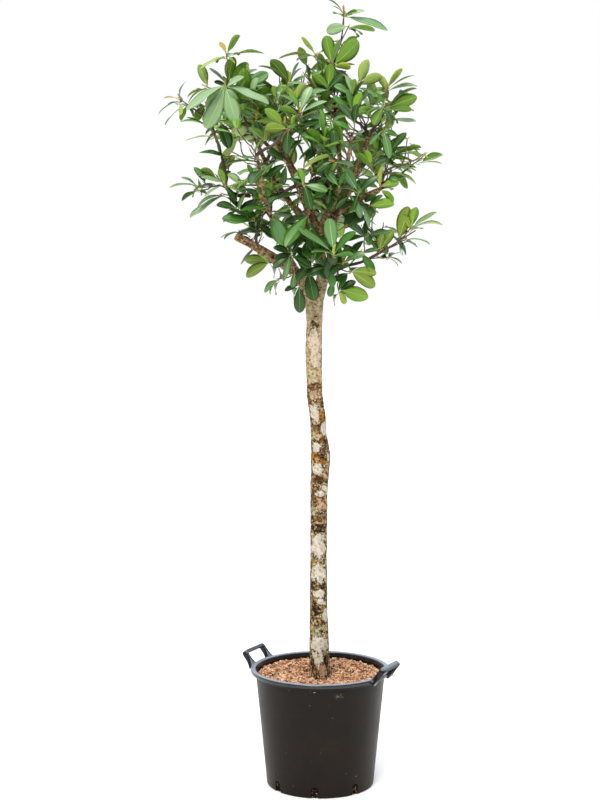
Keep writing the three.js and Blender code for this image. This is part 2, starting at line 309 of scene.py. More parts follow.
def smooth_route(points, step):
    """Points about one step apart on a smooth curve through the given points."""
    points = np.asarray(points, float)
    ends = np.vstack([2 * points[0] - points[1], points, 2 * points[-1] - points[-2]])
    out = []
    for a, b, c, d in zip(ends, ends[1:], ends[2:], ends[3:]):
        count = max(1, round(np.linalg.norm(c - b) / step))
        for t in np.arange(count) / count:
            squared = (2 * a - 5 * b + 4 * c - d) * t**2
            cubed = (3 * b - a - 3 * c + d) * t**3
            out.append(0.5 * (2 * b + (c - a) * t + squared + cubed))
    out.append(points[-1])
    return np.array(out)


def ring_faces(rows, sides):
    """The faces of a closed tube between its rows of points, with a cap at each end."""
    faces = []
    for row in range(rows - 1):
        for i in range(sides):
            j = (i + 1) % sides
            faces.append([row * sides + i, row * sides + j, (row + 1) * sides + j, (row + 1) * sides + i])
    faces.append(list(range(sides))[::-1])
    faces.append([(rows - 1) * sides + i for i in range(sides)])
    return faces


def tube(route, radii, sides, round_end=False):
    """Points and faces of a closed tube along a route, with a ring at each of its points."""
    route = np.asarray(route, float)
    along = unit(np.gradient(route, axis=0))
    side = np.cross(along[0], UP if abs(along[0][2]) < 0.9 else [1.0, 0.0, 0.0])
    turns = np.linspace(0, 2 * math.pi, sides, endpoint=False)
    rings = []
    for place, forward, radius in zip(route, along, radii):
        side = unit(side - forward * np.dot(side, forward))
        other = np.cross(forward, side)
        rings.append(place + radius * (np.outer(np.cos(turns), side) + np.outer(np.sin(turns), other)))
    if round_end:
        rings.append(route[-1] + along[-1] * radii[-1] * 0.7 + (rings[-1] - route[-1]) * 0.5)
    return np.concatenate(rings), ring_faces(len(rings), sides)


# ------------------------------------------------------------------ camera, light and floor


EYE = (-0.066, -5.145, 1.699)  # where the viewer stands
CAMERA_TILT = 4.98
CAMERA_LENS = 72.585
FLOOR_RADIUS = 40


def set_camera():
    """Stands level with the stem's top and looks a little down at the whole plant."""
    camera = bpy.data.objects.new("camera", bpy.data.cameras.new("camera"))
    bpy.context.scene.collection.objects.link(camera)
    camera.location = EYE
    camera.rotation_euler = (math.radians(90 - CAMERA_TILT), 0, 0)
    camera.data.sensor_width = 36
    camera.data.lens = CAMERA_LENS
    camera.data.clip_end = 100
    bpy.context.scene.camera = camera


def set_light():
    """A white studio: bright behind and overhead, dimmer on the viewer's side, with two broad soft lights."""
    scene = bpy.context.scene
    scene.view_settings.view_transform = "Standard"
    scene.world = bpy.data.worlds.new("studio")
    scene.world.use_nodes = True
    tree = scene.world.node_tree
    around = add(tree, "TexCoord", out="Generated")
    back = add(tree, "SeparateXYZ", {0: around}, out="Y")
    up = add(tree, "SeparateXYZ", {0: around}, out="Z")
    behind = add(tree, "MapRange", {0: back, 1: -0.6, 2: 0.7, 3: 0.20, 4: 0.95})
    above = add(tree, "MapRange", {0: up, 1: 0.1, 2: 0.8, 3: 0.0, 4: 0.50})
    walls = add(tree, "Math", {0: behind, 1: above}, operation="ADD")
    seen = add(tree, "LightPath", out="Is Camera Ray")
    background = tree.nodes["Background"]
    tint = add(tree, "Mix", {0: seen, 6: "#fafaff", 7: "#ffffff"}, out=2, data_type="RGBA")
    tree.links.new(tint, background.inputs["Color"])
    tree.links.new(add(tree, "Mix", {0: seen, 2: walls, 3: 1.0}), background.inputs["Strength"])
    for name, strength, softness, tilt, colour in (
        ("front_light", 2.55, 24, (46, 0, -16), "#fff7e8"),
        ("top_light", 1.7, 50, (4, 0, 0), "#e9f1ff"),
    ):
        light = bpy.data.objects.new(name, bpy.data.lights.new(name, "SUN"))
        light.data.energy = strength
        light.data.angle = math.radians(softness)
        light.data.color = linear(colour)[:3]
        light.rotation_euler = [math.radians(angle) for angle in tilt]
        scene.collection.objects.link(light)


def lay_floor():
    """Smooth white studio card: a wide disc with no shine."""
    material, tree = finish("white_studio_card", "#f4f4f2", 0.9)
    grain = add(tree, "TexNoise", {"Scale": 400.0, "Detail": 3.0})
    bump = add(tree, "Bump", {"Height": grain, "Strength": 0.02, "Distance": 0.0005})
    turns = np.linspace(0, 2 * math.pi, 96, endpoint=False)
    rim = [(FLOOR_RADIUS * math.cos(t), FLOOR_RADIUS * math.sin(t), -0.5 * MM) for t in turns]
    floor = piece_of("floor", rim, [list(range(96))], [dressed(material, Normal=bump)])


# ------------------------------------------------------------------ pot and handles


def moulded_polypropylene():
    """Recycled black polypropylene, injection moulded: a charcoal skin with a low shine, dulled by dust."""
    material, tree = finish("moulded_polypropylene", "#181510", 0.44, Specular_IOR_Level=0.15)
    place = add(tree, "TexCoord", out="Object")
    clouds = add(tree, "TexNoise", {"Vector": place, "Scale": 9.0, "Detail": 5.0, "Roughness": 0.6})
    skin = add(tree, "ValToRGB", {0: clouds}, stops=[(0.3, "#100c08"), (0.55, "#17110b"), (0.75, "#22190f")])
    rough = add(tree, "MapRange", {0: clouds, 1: 0.3, 2: 0.7, 3: 0.36, 4: 0.5})
    # Dust: specks a few millimetres wide on some of the wall, and faint upright smears.
    specks = add(tree, "TexVoronoi", {"Vector": place, "Scale": 55.0, "Randomness": 1.0})
    chance = add(tree, "TexNoise", {"Vector": place, "Scale": 23.0, "Detail": 1.0})
    near = add(tree, "MapRange", {0: specks, 1: 0.08, 2: 0.04})
    some = add(tree, "MapRange", {0: chance, 1: 0.54, 2: 0.60, 4: 0.6})
    dust = add(tree, "Math", {0: near, 1: some}, operation="MULTIPLY")
    streaks = add(tree, "Mapping", {"Vector": place, "Scale": (70.0, 70.0, 11.0)})
    wiped = add(tree, "TexNoise", {"Vector": streaks, "Scale": 1.0, "Detail": 4.0, "Roughness": 0.7})
    smear = add(tree, "MapRange", {0: wiped, 1: 0.66, 2: 0.8, 4: 0.2})
    marks = add(tree, "Math", {0: dust, 1: smear}, operation="MAXIMUM")
    # The rubbed patch: fine scratches that fade out from its middle.
    apart = add(tree, "VectorMath", {0: place, 1: SCUFF_PLACE}, operation="SUBTRACT")
    stretched = add(tree, "VectorMath", {0: apart, 1: (1.0, 0.5, 1.7)}, operation="MULTIPLY")
    reach = add(tree, "VectorMath", {0: stretched}, out="Value", operation="LENGTH")
    around = add(tree, "MapRange", {0: reach, 1: 0.018, 2: 0.008})
    scratch = add(tree, "TexNoise", {"Vector": place, "Scale": 150.0, "Detail": 4.0})
    worn = add(tree, "MapRange", {0: scratch, 1: 0.45, 2: 0.62, 4: 0.4})
    scuff = add(tree, "Math", {0: around, 1: worn}, operation="MULTIPLY")
    marks = add(tree, "Math", {0: marks, 1: scuff}, operation="MAXIMUM")
    colour = add(tree, "Mix", {0: marks, 6: skin, 7: "#8d8375"}, out=2, data_type="RGBA")
    return dressed(material, Base_Color=colour, Roughness=rough, Normal=relief(tree, 900.0, 0.12, 0.0004))


def handled_polypropylene(name, shades, shine, highlight_share):
    """The same plastic on the lip and handles, polished by hands, with a painted sky highlight along its top.
    """
    material, tree = finish(name, shades[1], 0.24, Specular_IOR_Level=shine)
    place = add(tree, "TexCoord", out="Object")
    clouds = add(tree, "TexNoise", {"Vector": place, "Scale": 24.0, "Detail": 5.0, "Roughness": 0.7})
    skin = add(tree, "ValToRGB", {0: clouds}, stops=list(zip((0.35, 0.6, 0.8), shades)))
    rough = add(tree, "MapRange", {0: clouds, 1: 0.3, 2: 0.7, 3: 0.17, 4: 0.3})
    # Painted highlight: the more a face turns upwards, the more it is lightened towards the sky's pale
    # blue-grey.
    upward = add(tree, "SeparateXYZ", {0: add(tree, "NewGeometry", out="Normal")}, out="Z")
    painted_highlight = add(tree, "MapRange", {0: upward, 1: 0.4, 2: 0.95, 4: highlight_share})
    colour = add(tree, "Mix", {0: painted_highlight, 6: skin, 7: "#97a3b3"}, out=2, data_type="RGBA")
    return dressed(material, Base_Color=colour, Roughness=rough, Normal=relief(tree, 700.0, 0.1, 0.0004))


def wall_radius(height):
    """The outer radius of the pot's wall."""
    wall_top = POT_TOP - LIP_HEIGHT - LEDGE_HEIGHT
    return FOOT_RADIUS + (WALL_TOP_RADIUS - FOOT_RADIUS) * height / wall_top


def pot_profile():
    """The pot's section, round the outside from the middle of its underside and back down the inside."""
    lip_bottom = POT_TOP - LIP_HEIGHT
    ledge_bottom = lip_bottom - LEDGE_HEIGHT
    ledge_radius = WALL_TOP_RADIUS + LEDGE_WIDTH
    inner_edge = LIP_RADIUS - LIP_WIDTH
    corners = [
        ((0.120, 0.0015), 0),
        ((0.128, 0.0), 0),
        ((FOOT_RADIUS, 0.0), 5 * MM),
        ((wall_radius(0.010), 0.010), 0),
        ((wall_radius(0.120), 0.120), 0),
        ((wall_radius(0.240), 0.240), 0),
        ((WALL_TOP_RADIUS, ledge_bottom), 1.5 * MM),
        ((ledge_radius, ledge_bottom + LEDGE_WIDTH), 2 * MM),
        ((ledge_radius + 0.5 * MM, lip_bottom - 0.5 * MM), 2 * MM),
        ((LIP_RADIUS, lip_bottom - 0.2 * MM), 2.5 * MM),
        ((LIP_RADIUS, POT_TOP), 8 * MM),
        ((inner_edge, POT_TOP - 0.5 * MM), 6.5 * MM),
        ((WALL_TOP_RADIUS - 0.5 * MM, lip_bottom - 2 * MM), 6 * MM),
        ((wall_radius(0.180) - WALL, 0.180), 0),
        ((wall_radius(FLOOR_THICKNESS) - WALL, FLOOR_THICKNESS), 4 * MM),
    ]
    outline = [(0.0, 0.0015)] + [corner for corner, _ in corners] + [(0.0, FLOOR_THICKNESS)]
    return rounded(outline, [radius for _, radius in corners])


def block(half_width, reach, low, high, arched):
    """Points and faces of a cutter that points along +X: an upright slot with a round top, or a plain box."""
    outline = [(-half_width, low), (half_width, low)]
    if arched:
        middle = high - half_width
        for t in np.linspace(0, math.pi, 13):
            outline.append((half_width * math.cos(t), middle + half_width * math.sin(t)))
    else:
        outline += [(half_width, high), (-half_width, high)]
    near, far = reach
    count = len(outline)
    points = [(near, y, z) for y, z in outline] + [(far, y, z) for y, z in outline]
    faces = [list(range(count))[::-1], [count + i for i in range(count)]]
    for i in range(count):
        j = (i + 1) % count
        faces.append([i, j, count + j, count + i])
    return points, faces


def make_cutters():
    """Eight drain slots, a small vent over every other one, and the mould's notch under the lip."""
    cutters = Joined()
    vent = 2.2 * MM
    under_lip = POT_TOP - LIP_HEIGHT
    pocket = (WALL_TOP_RADIUS + 1 * MM, WALL_TOP_RADIUS + 8 * MM)
    for slot, turn in enumerate(DRAIN_TURNS):
        shapes = [block(DRAIN_WIDTH / 2, (0.150, 0.200), -0.004, DRAIN_HEIGHT, True)]
        if slot % 2 == 0:
            shapes.append(block(vent, (0.165, 0.200), VENT_HEIGHT - vent, VENT_HEIGHT + vent, True))
        if slot % 4 == 0:
            shapes.append(block(8 * MM, pocket, under_lip - 12 * MM, under_lip - 4 * MM, False))
        for points, faces in shapes:
            cutters.take(np.array(points) @ about_z(turn).T, faces, 0)
    return cutters.piece("pot_cutters", [], smooth=False)


def about_z(degrees):
    """The matrix of a turn about the Z axis."""
    c, s = math.cos(math.radians(degrees)), math.sin(math.radians(degrees))
    return np.array([[c, -s, 0.0], [s, c, 0.0], [0.0, 0.0, 1.0]])


def shade_by_angle(made, degrees):
    """Smooth shading that keeps edges sharper than this angle crisp."""
    body = bmesh.new()
    body.from_mesh(made.data)
    bmesh.ops.recalc_face_normals(body, faces=body.faces)
    for face in body.faces:
        face.smooth = True
    for edge in body.edges:
        edge.smooth = len(edge.link_faces) == 2 and edge.calc_face_angle(0) < math.radians(degrees)
    body.to_mesh(made.data)
    body.free()


def make_pot(wall_skin, lip_skin):
    """The pot turned in one piece, its slots, vents and notches cut out, its lip in a finish of its own."""
    points, faces = turned(pot_profile(), POT_SEGMENTS)
    pot = piece_of("nursery_pot", points, faces, [wall_skin, lip_skin])
    shade_by_angle(pot, 40)
    cutters = make_cutters()
    shade_by_angle(cutters, 40)
    applied(pot, "BOOLEAN", object=cutters, operation="DIFFERENCE", solver="EXACT")
    bpy.data.objects.remove(cutters)
    shade_by_angle(pot, 32)
    lip_bottom = POT_TOP - LIP_HEIGHT - 1 * MM
    for face in pot.data.polygons:
        face.material_index = 1 if face.center.z > lip_bottom else 0
    return pot


def bail_section(half_width, half_depth, hollow):
    """A flattened bar's section with rounded corners and a shallow channel along its two broad faces."""
    corner = 0.45 * min(half_width, half_depth)
    outline = []
    for across, deep in ((1, -1), (1, 1), (-1, 1), (-1, -1)):
        centre = np.array([across * (half_width - corner), deep * (half_depth - corner)])
        start = math.atan2(deep, across) - math.pi / 4
        for t in (0.0, 0.5, 1.0):
            angle = start + t * math.pi / 2
            outline.append(centre + corner * np.array([math.cos(angle), math.sin(angle)]))
        if across == deep:
            for share, sunk in ((0.5, 0), (0.38, hollow), (-0.38, hollow), (-0.5, 0)):
                outline.append(np.array([share * across * half_width, deep * (half_depth - sunk)]))
    return np.array(outline)


def make_handle(name, turn, material):
    """A bail handle that leans out from the lip: two arms with flared feet under a flat bar."""
    top = HANDLE_RISE - 6 * MM
    arm = HANDLE_ARM_PLACE
    half = [(-arm - HANDLE_FOOT_SPREAD, -15 * MM), (-arm, -5 * MM), (-arm, 10 * MM), (-arm, 24 * MM)]
    half += [(-arm, top - 9 * MM), (-arm + 1.2 * MM, top - 2.5 * MM), (-arm + 7 * MM, top), (-arm / 2, top)]
    outline = half + [(0.0, top)] + [(-x, y) for x, y in half[::-1]]
    line = smooth_route([(x, y, 0.0) for x, y in outline], 3 * MM)
    along = unit(np.gradient(line, axis=0))
    across = np.stack([-along[:, 1], along[:, 0], 0 * along[:, 0]], 1)
    flare = smooth_share(-line[:, 1], -20 * MM, 16 * MM)
    rings = []
    for place, out, share in zip(line, across, flare):
        half_width = (6.2 + 10.5 * share) * MM
        half_depth = (9.2 + 0.8 * share) * MM
        section = bail_section(half_width, half_depth, 2.2 * MM * (1 - share))
        rings.append(place + np.outer(section[:, 0], out) + np.outer(section[:, 1], [0, 0, 1]))
    lean = math.radians(HANDLE_LEAN)
    out = np.array([math.cos(math.radians(turn)), math.sin(math.radians(turn)), 0.0])
    sideways = np.array([-out[1], out[0], 0.0])
    slope = out * math.sin(lean) + UP * math.cos(lean)
    facing = np.cross(sideways, slope)
    foot = out * (LIP_RADIUS - 2 * MM) + UP * (POT_TOP - 2 * MM)
    placed = foot + np.concatenate(rings) @ np.stack([sideways, slope, facing])
    handle = piece_of(name + "_bail", placed.tolist(), ring_faces(len(rings), len(rings[0])), [material])
    shade_by_angle(handle, 50)
    return handle


# ------------------------------------------------------------------ soil


def potting_finishes():
    """Coir chip and milled pine bark, dry on top: no shine, tan to red-brown with dark crumbs between."""
    shades = {
        "coir_tan": "#ba8f6d",
        "coir_pale": "#d2b596",
        "bark_chip_brown": "#8f6545",
        "bark_chip_red": "#74503c",
        "peat_crumb": "#35281f",
        "coir_pink": "#c39c7f",
    }
    fibres = (700.0, 0.5, 0.0006)
    return [grained(name, shade, 0.92, fibres, Specular_IOR_Level=0.25) for name, shade in shades.items()]


def packed_mix():
    """Peat and coir packed in the pot: tan crumbs, darker brown where the relief sinks between them."""
    material, tree = finish("packed_potting_mix", "#5a4234", 0.95)
    crumbs = add(tree, "TexVoronoi", {"Vector": add(tree, "TexCoord", out="Object"), "Scale": 150.0})
    shade = add(tree, "ValToRGB", {0: crumbs}, stops=[(0.0, "#8f6849"), (0.35, "#6d4c37"), (0.7, "#382921")])
    bump = add(tree, "Bump", {"Height": crumbs, "Strength": 0.8, "Distance": 0.002}, invert=True)
    return dressed(material, Base_Color=shade, Normal=bump)


def soil_height(x, y):
    """The loose surface: level, with a shallow dish round the stem, small lumps and a slight heap at the
    back.
    """
    dish = float(smooth_share(math.hypot(x, y), DISH_RADIUS * 0.55, DISH_RADIUS * 1.7))
    crumble = math.sin(x * 90) * math.cos(y * 70 + 1)
    lumps = noise.noise(Vector((x * 55, y * 55, 3.0))) * 2.2
    lumps += noise.noise(Vector((x * 160, y * 160, 9.0))) * 1.2
    heaped = 2.5 * smooth_share(y, 0.0, 0.18)
    return DISH_LEVEL + (SOIL_LEVEL - DISH_LEVEL) * dish + (2.4 * crumble * dish + lumps + heaped) * MM


def shade_darkened_peat():
    """Peat down the pot's side and behind its slots: dark brown, painted nearly black as shade, with no
    shine.
    """
    return grained("shade_darkened_peat", "#0d0906", 0.95, (220.0, 0.8, 0.002, 3.0), Specular_IOR_Level=0.1)


def make_soil(material, deep_material):
    """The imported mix: its uneven top in rings round the stem, and its side down to the pot's floor."""
    rings, rows, segments = 64, 40, 160
    low_edge = FLOOR_THICKNESS + 0.3 * MM
    edge = wall_radius(SOIL_LEVEL) - WALL - 0.3 * MM
    base = wall_radius(FLOOR_THICKNESS) - WALL - 0.3 * MM
    turns = [2 * math.pi * i / segments for i in range(segments)]
    points = [(0.0, 0.0, soil_height(0, 0))]
    for ring in range(1, rings + 1):
        reach = edge * ring / rings
        for turn in turns:
            x, y = reach * math.cos(turn), reach * math.sin(turn)
            points.append((x, y, soil_height(x, y)))
    for share in np.linspace(0.03, 1, rows):
        height = SOIL_LEVEL + (low_edge - SOIL_LEVEL) * share
        for turn in turns:
            bite = noise.noise(Vector((math.cos(turn) * 30, math.sin(turn) * 30, height * 150)))
            reach = edge + (base - edge) * share - 2.5 * MM * max(0.0, bite)
            points.append((reach * math.cos(turn), reach * math.sin(turn), height))
    faces = [[0, 1 + i, 1 + (i + 1) % segments] for i in range(segments)]
    last = 1 + (rings + rows - 1) * segments
    for start in range(1, last, segments):
        for i in range(segments):
            j = (i + 1) % segments
            faces.append([start + i, start + segments + i, start + segments + j, start + j])
    faces.append([last + i for i in range(segments)][::-1])
    made = piece_of("potting_mix", points, faces, [material, deep_material])
    # Faces more than 20 mm down the side take the peat painted nearly black as shade.
    for face in made.data.polygons:
        face.material_index = int(face.center.z < SOIL_LEVEL - 20 * MM)
    return made


def make_chips(finishes):
    """Loose chips strewn over the mix, each a small crooked block lying nearly flat."""
    draw = np.random.default_rng(11)
    chips = Joined()
    corners = np.array([(x, y, z) for z in (-1, 1) for y in (-1, 1) for x in (-1, 1)], float)
    faces = [[0, 2, 3, 1], [4, 5, 7, 6], [0, 1, 5, 4], [1, 3, 7, 5], [3, 2, 6, 7], [2, 0, 4, 6]]
    edge = wall_radius(SOIL_LEVEL) - WALL - 5 * MM
    stem, thickness = stem_at(DISH_LEVEL)
    for _ in range(CHIP_COUNT):
        reach = edge * math.sqrt(draw.uniform(0.0, 1.0))
        turn = draw.uniform(0, 2 * math.pi)
        x, y = reach * math.cos(turn), reach * math.sin(turn)
        if math.hypot(x - stem[0], y - stem[1]) < thickness + 4 * MM:
            continue
        size = np.array([draw.uniform(3.2, 8.5), draw.uniform(1.8, 4.2), draw.uniform(0.9, 2.2)]) * MM
        crooked = corners * size * (1 + draw.uniform(-0.35, 0.35, (8, 3)))
        tilt = draw.normal(0, 0.42, 2)
        cos_roll, cos_pitch = map(math.cos, tilt)
        sin_roll, sin_pitch = map(math.sin, tilt)
        roll = np.array([[1, 0, 0], [0, cos_roll, -sin_roll], [0, sin_roll, cos_roll]])
        pitch = np.array([[cos_pitch, 0, sin_pitch], [0, 1, 0], [-sin_pitch, 0, cos_pitch]])
        placed = crooked @ roll.T @ pitch.T @ about_z(draw.uniform(0, 360)).T
        lift = soil_height(x, y) + draw.uniform(0.2, 3.2) * MM
        kind = int(draw.choice(6, p=[0.30, 0.15, 0.20, 0.11, 0.09, 0.15]))
        chips.take(placed + np.array([x, y, lift]), faces, kind)
    return chips.piece("bark_chips", finishes, smooth=False)


def make_roots(finishes):
    """Fine feeder roots that mat behind each drain slot, and a thick one that ends in each vent."""
    draw = np.random.default_rng(5)
    roots = Joined()
    for slot, turn in enumerate(DRAIN_TURNS):
        if slot % 2 == 0:
            start = wall_radius(VENT_HEIGHT) - 3.2 * MM
            vent = np.array([[start + t, 1.5 * t, VENT_HEIGHT] for t in (0.0, 1.2 * MM, 2.4 * MM)])
            points, faces = tube(vent, [1.9 * MM, 2.0 * MM, 1.4 * MM], 6, round_end=True)
            roots.take(points @ about_z(turn).T, faces, 0)
        for _ in range(ROOTS_PER_SLOT):
            place = draw.uniform(*ROOT_START)
            heading = unit(draw.normal(0, 1, 3) * [0.25, 1, 1])
            route = [place]
            for _ in range(6):
                heading = unit(heading + draw.normal(0, 0.6, 3) * [0.3, 1, 1])
                place = np.clip(place + heading * 3.5 * MM, *ROOT_ROOM)
                route.append(place)
            thickness = draw.uniform(0.5, 1.3) * MM
            points, faces = tube(route, [thickness] * len(route), 5)
            roots.take(points @ about_z(turn).T, faces, int(draw.choice(4, p=[0.26, 0.16, 0.18, 0.40])))
    return roots.piece("feeder_roots", finishes)


def root_finishes():
    """Living roots: ochre to straw bark with a faint damp shine, some dead and nearly black."""
    shades = {
        "root_ochre": "#8f5f30",
        "root_straw": "#c89d6b",
        "root_brown": "#5b371f",
        "root_dead": "#1a140f",
    }
    return [grained(name, shade, 0.6, (500.0, 0.4, 0.0004)) for name, shade in shades.items()]


# ------------------------------------------------------------------ stem and boughs

STEM_HEIGHTS = STEM[:, 0]
STEM_SIDES = 48
LIMB_SIDES = 20
WOOD_CELL = 2.6 * MM  # the cells in which the stem and boughs grow together


def stem_at(height):
    """The stem's centre and half thickness at a height, joined smoothly from station to station."""
    above = min(max(1, int(np.searchsorted(STEM_HEIGHTS, height))), len(STEM) - 1)
    low, high = STEM[above - 1], STEM[above]
    share = smooth_share(height, low[0], high[0])
    mixed = low + (high - low) * share
    return mixed[1:3], mixed[3]


def stem_tube():
    """The stem from the dish in the soil to its fork, with three root ridges at the foot."""
    heights = np.arange(DISH_LEVEL, STEM_TOP, 5 * MM)
    turns = np.linspace(0, 2 * math.pi, STEM_SIDES, endpoint=False)
    points = []
    for height in heights:
        (x, y), thickness = stem_at(height)
        foot = math.exp(-(height - DISH_LEVEL) / 0.055)
        narrow = math.exp(-(height - DISH_LEVEL) / 0.030)
        for t in turns:
            ridge = 3.0 * math.sin(3 * t) + 2.5 * narrow * max(0.0, math.sin(3 * t)) ** 3
            reach = thickness + foot * (4.0 + ridge) * MM
            points.append((x + reach * math.cos(t), y + reach * math.sin(t), height))
    return points, ring_faces(len(heights), len(turns))


def bough_route(name, step):
    """A bough's route and its half thickness at each point of it."""
    radii, through = BOUGHS[name]
    thick, thin = np.array(radii) / 1000
    route = smooth_route(np.array(through) / 1000, step)
    return route, np.linspace(thick, thin, len(route))


# What shows on the stem's front: kind, height, turn right of the front, half width and half height (mm).
MARKS = [
    ("moss", 1.540, -30, 12, 20), ("brown", 1.490, 0, 15, 14), ("tan", 1.492, 2, 6, 6),
    ("dark", 1.519, 8, 7, 2.5), ("pale", 1.440, 0, 20, 40), ("pale", 1.385, 12, 18, 26),
    ("moss", 1.415, 4, 6, 6), ("moss", 1.357, 12, 8, 9), ("moss", 1.331, -34, 14, 17),
    ("dark", 1.319, -60, 5, 8), ("brown", 1.296, -4, 26, 11), ("tan", 1.271, 0, 19, 15),
    ("brown", 1.242, -44, 10, 16), ("ochre", 1.236, 66, 5, 26), ("ochre", 1.201, 35, 13, 17),
    ("pale", 1.212, -19, 15, 28), ("brown", 1.162, -11, 13, 16), ("pale", 1.160, 50, 12, 24),
    ("pale", 1.102, -28, 14, 16), ("brown", 1.123, 36, 16, 16), ("ochre", 1.070, -40, 17, 13),
    ("ochre", 1.057, 12, 17, 9), ("dark", 1.078, 4, 15, 17), ("pale", 1.066, 52, 5, 14),
    ("pale", 1.032, -14, 19, 15), ("tan", 1.030, 56, 8, 12), ("brown", 0.998, -10, 24, 14),
    ("tan", 1.008, 34, 9, 9), ("pale", 0.969, 36, 10, 8), ("pale", 0.951, 12, 14, 9),
    ("brown", 0.938, -34, 14, 26), ("tan", 0.912, 20, 16, 20), ("moss", 0.897, -36, 11, 14),
    ("brown", 0.870, 0, 26, 13), ("dark", 0.840, 0, 26, 14), ("pale", 0.808, 10, 15, 13),
    ("pale", 0.780, -4, 26, 34), ("moss", 0.741, -4, 18, 12), ("ochre", 0.726, -46, 8, 9),
    ("pale", 0.690, 0, 26, 27), ("dark", 0.682, 76, 8, 24), ("dark", 0.655, -44, 11, 16),
    ("dark", 0.650, 30, 14, 9), ("pale", 0.626, 0, 18, 13), ("pale", 0.598, 16, 14, 9),
    ("dark", 0.568, -24, 17, 25), ("pale", 0.556, 44, 14, 20), ("dark", 0.528, 30, 12, 8),
    ("moss", 0.516, 27, 11, 12), ("dark", 0.516, 27, 3, 6), ("moss", 0.500, -24, 17, 16),
    ("pale", 0.459, 0, 29, 25), ("pale", 0.415, -8, 14, 22), ("tan", 0.378, 10, 12, 20),
    ("brown", 0.370, -30, 14, 14), ("dark", 0.407, 42, 10, 24), ("dark", 0.397, -48, 8, 16),
]  # fmt: skip
KINDS = ("tan", "brown", "dark", "moss", "pale", "ochre")


def hidden_marks():
    """More patches of the same kinds for the sides and the back of the stem."""
    draw = np.random.default_rng(21)
    found = []
    for height in np.arange(0.36, 1.58, 0.0105):
        old = height < 1.28
        odds = [0.2, 0.16, 0.2, 0.12, 0.28, 0.04] if old else [0.3, 0.1, 0.04, 0.2, 0.36, 0.0]
        kind = draw.choice(KINDS, p=odds)
        size = draw.uniform(7, 22)
        found.append((kind, height, draw.uniform(78, 282), size, size * draw.uniform(0.7, 1.4)))
    return found


def mark_bark(points):
    """How deep each point of the wood lies in a patch of each kind: 1 in its middle, 0 at its edge."""
    fields = {kind: np.full(len(points), -1.0) for kind in KINDS}
    centres = np.array([stem_at(z)[0] for z in points[:, 2]])
    thickness = np.array([stem_at(z)[1] for z in points[:, 2]])
    offset = points[:, :2] - centres
    turn = np.degrees(np.arctan2(offset[:, 0], -offset[:, 1]))
    on_stem = (points[:, 2] < 1.60) & (np.hypot(offset[:, 0], offset[:, 1]) < thickness + 16 * MM)
    wobble = np.array([noise.noise(Vector(p * 70)) + 0.7 * noise.noise(Vector(p * 170)) for p in points])
    for kind, height, angle, wide, tall in MARKS + hidden_marks():
        near = np.where(on_stem & (np.abs(points[:, 2] - height) < 2.2 * tall * MM))[0]
        apart = (turn[near] - angle + 180) % 360 - 180
        across = np.radians(apart) * thickness[near] / (wide * MM)
        upward = (points[near, 2] - height) / (tall * MM)
        depth = 1.15 - np.sqrt(across**2 + upward**2) + 0.55 * wobble[near]
        fields[kind][near] = np.maximum(fields[kind][near], depth)
    return fields


# The bark's colours from its hollows to its ridges, for each age and for each kind of patch on it.
BARK_SHADES = {
    "young": [
        (0.30, "#4f3a22"), (0.41, "#8d734f"), (0.50, "#b09874"), (0.60, "#c4ae8e"), (0.72, "#957c56")
    ],
    "old": [(0.38, "#1b1107"), (0.45, "#3f2b15"), (0.50, "#6a5031"), (0.55, "#94794f"), (0.62, "#c2b18d")],
    "limb": [(0.32, "#261a0e"), (0.42, "#56412a"), (0.50, "#7c6446"), (0.60, "#a48b69"), (0.72, "#6b5539")],
    "tan": [(0.36, "#775a41"), (0.48, "#a08264"), (0.60, "#bfa185"), (0.72, "#a88a66")],
    "brown": [(0.38, "#281808"), (0.47, "#573d20"), (0.55, "#7d603d"), (0.65, "#a0865e")],
    "dark": [(0.42, "#120a04"), (0.50, "#33200e"), (0.57, "#6b5130"), (0.65, "#a99a75")],
    "moss": [(0.34, "#5a5838"), (0.46, "#8f8c64"), (0.58, "#b1aa84"), (0.70, "#c1b693")],
    "pale": [(0.30, "#7d6b50"), (0.40, "#ab9a80"), (0.49, "#c2b29c"), (0.58, "#cdbfab"), (0.70, "#a99c80")],
    "grey_crust": [(0.32, "#8c8473"), (0.42, "#aea693"), (0.52, "#c3bcad"), (0.64, "#cdc7bb")],
    "ochre": [(0.38, "#3b2309"), (0.48, "#7a4f15"), (0.58, "#a47127"), (0.68, "#c09046")],
}  # fmt: skip


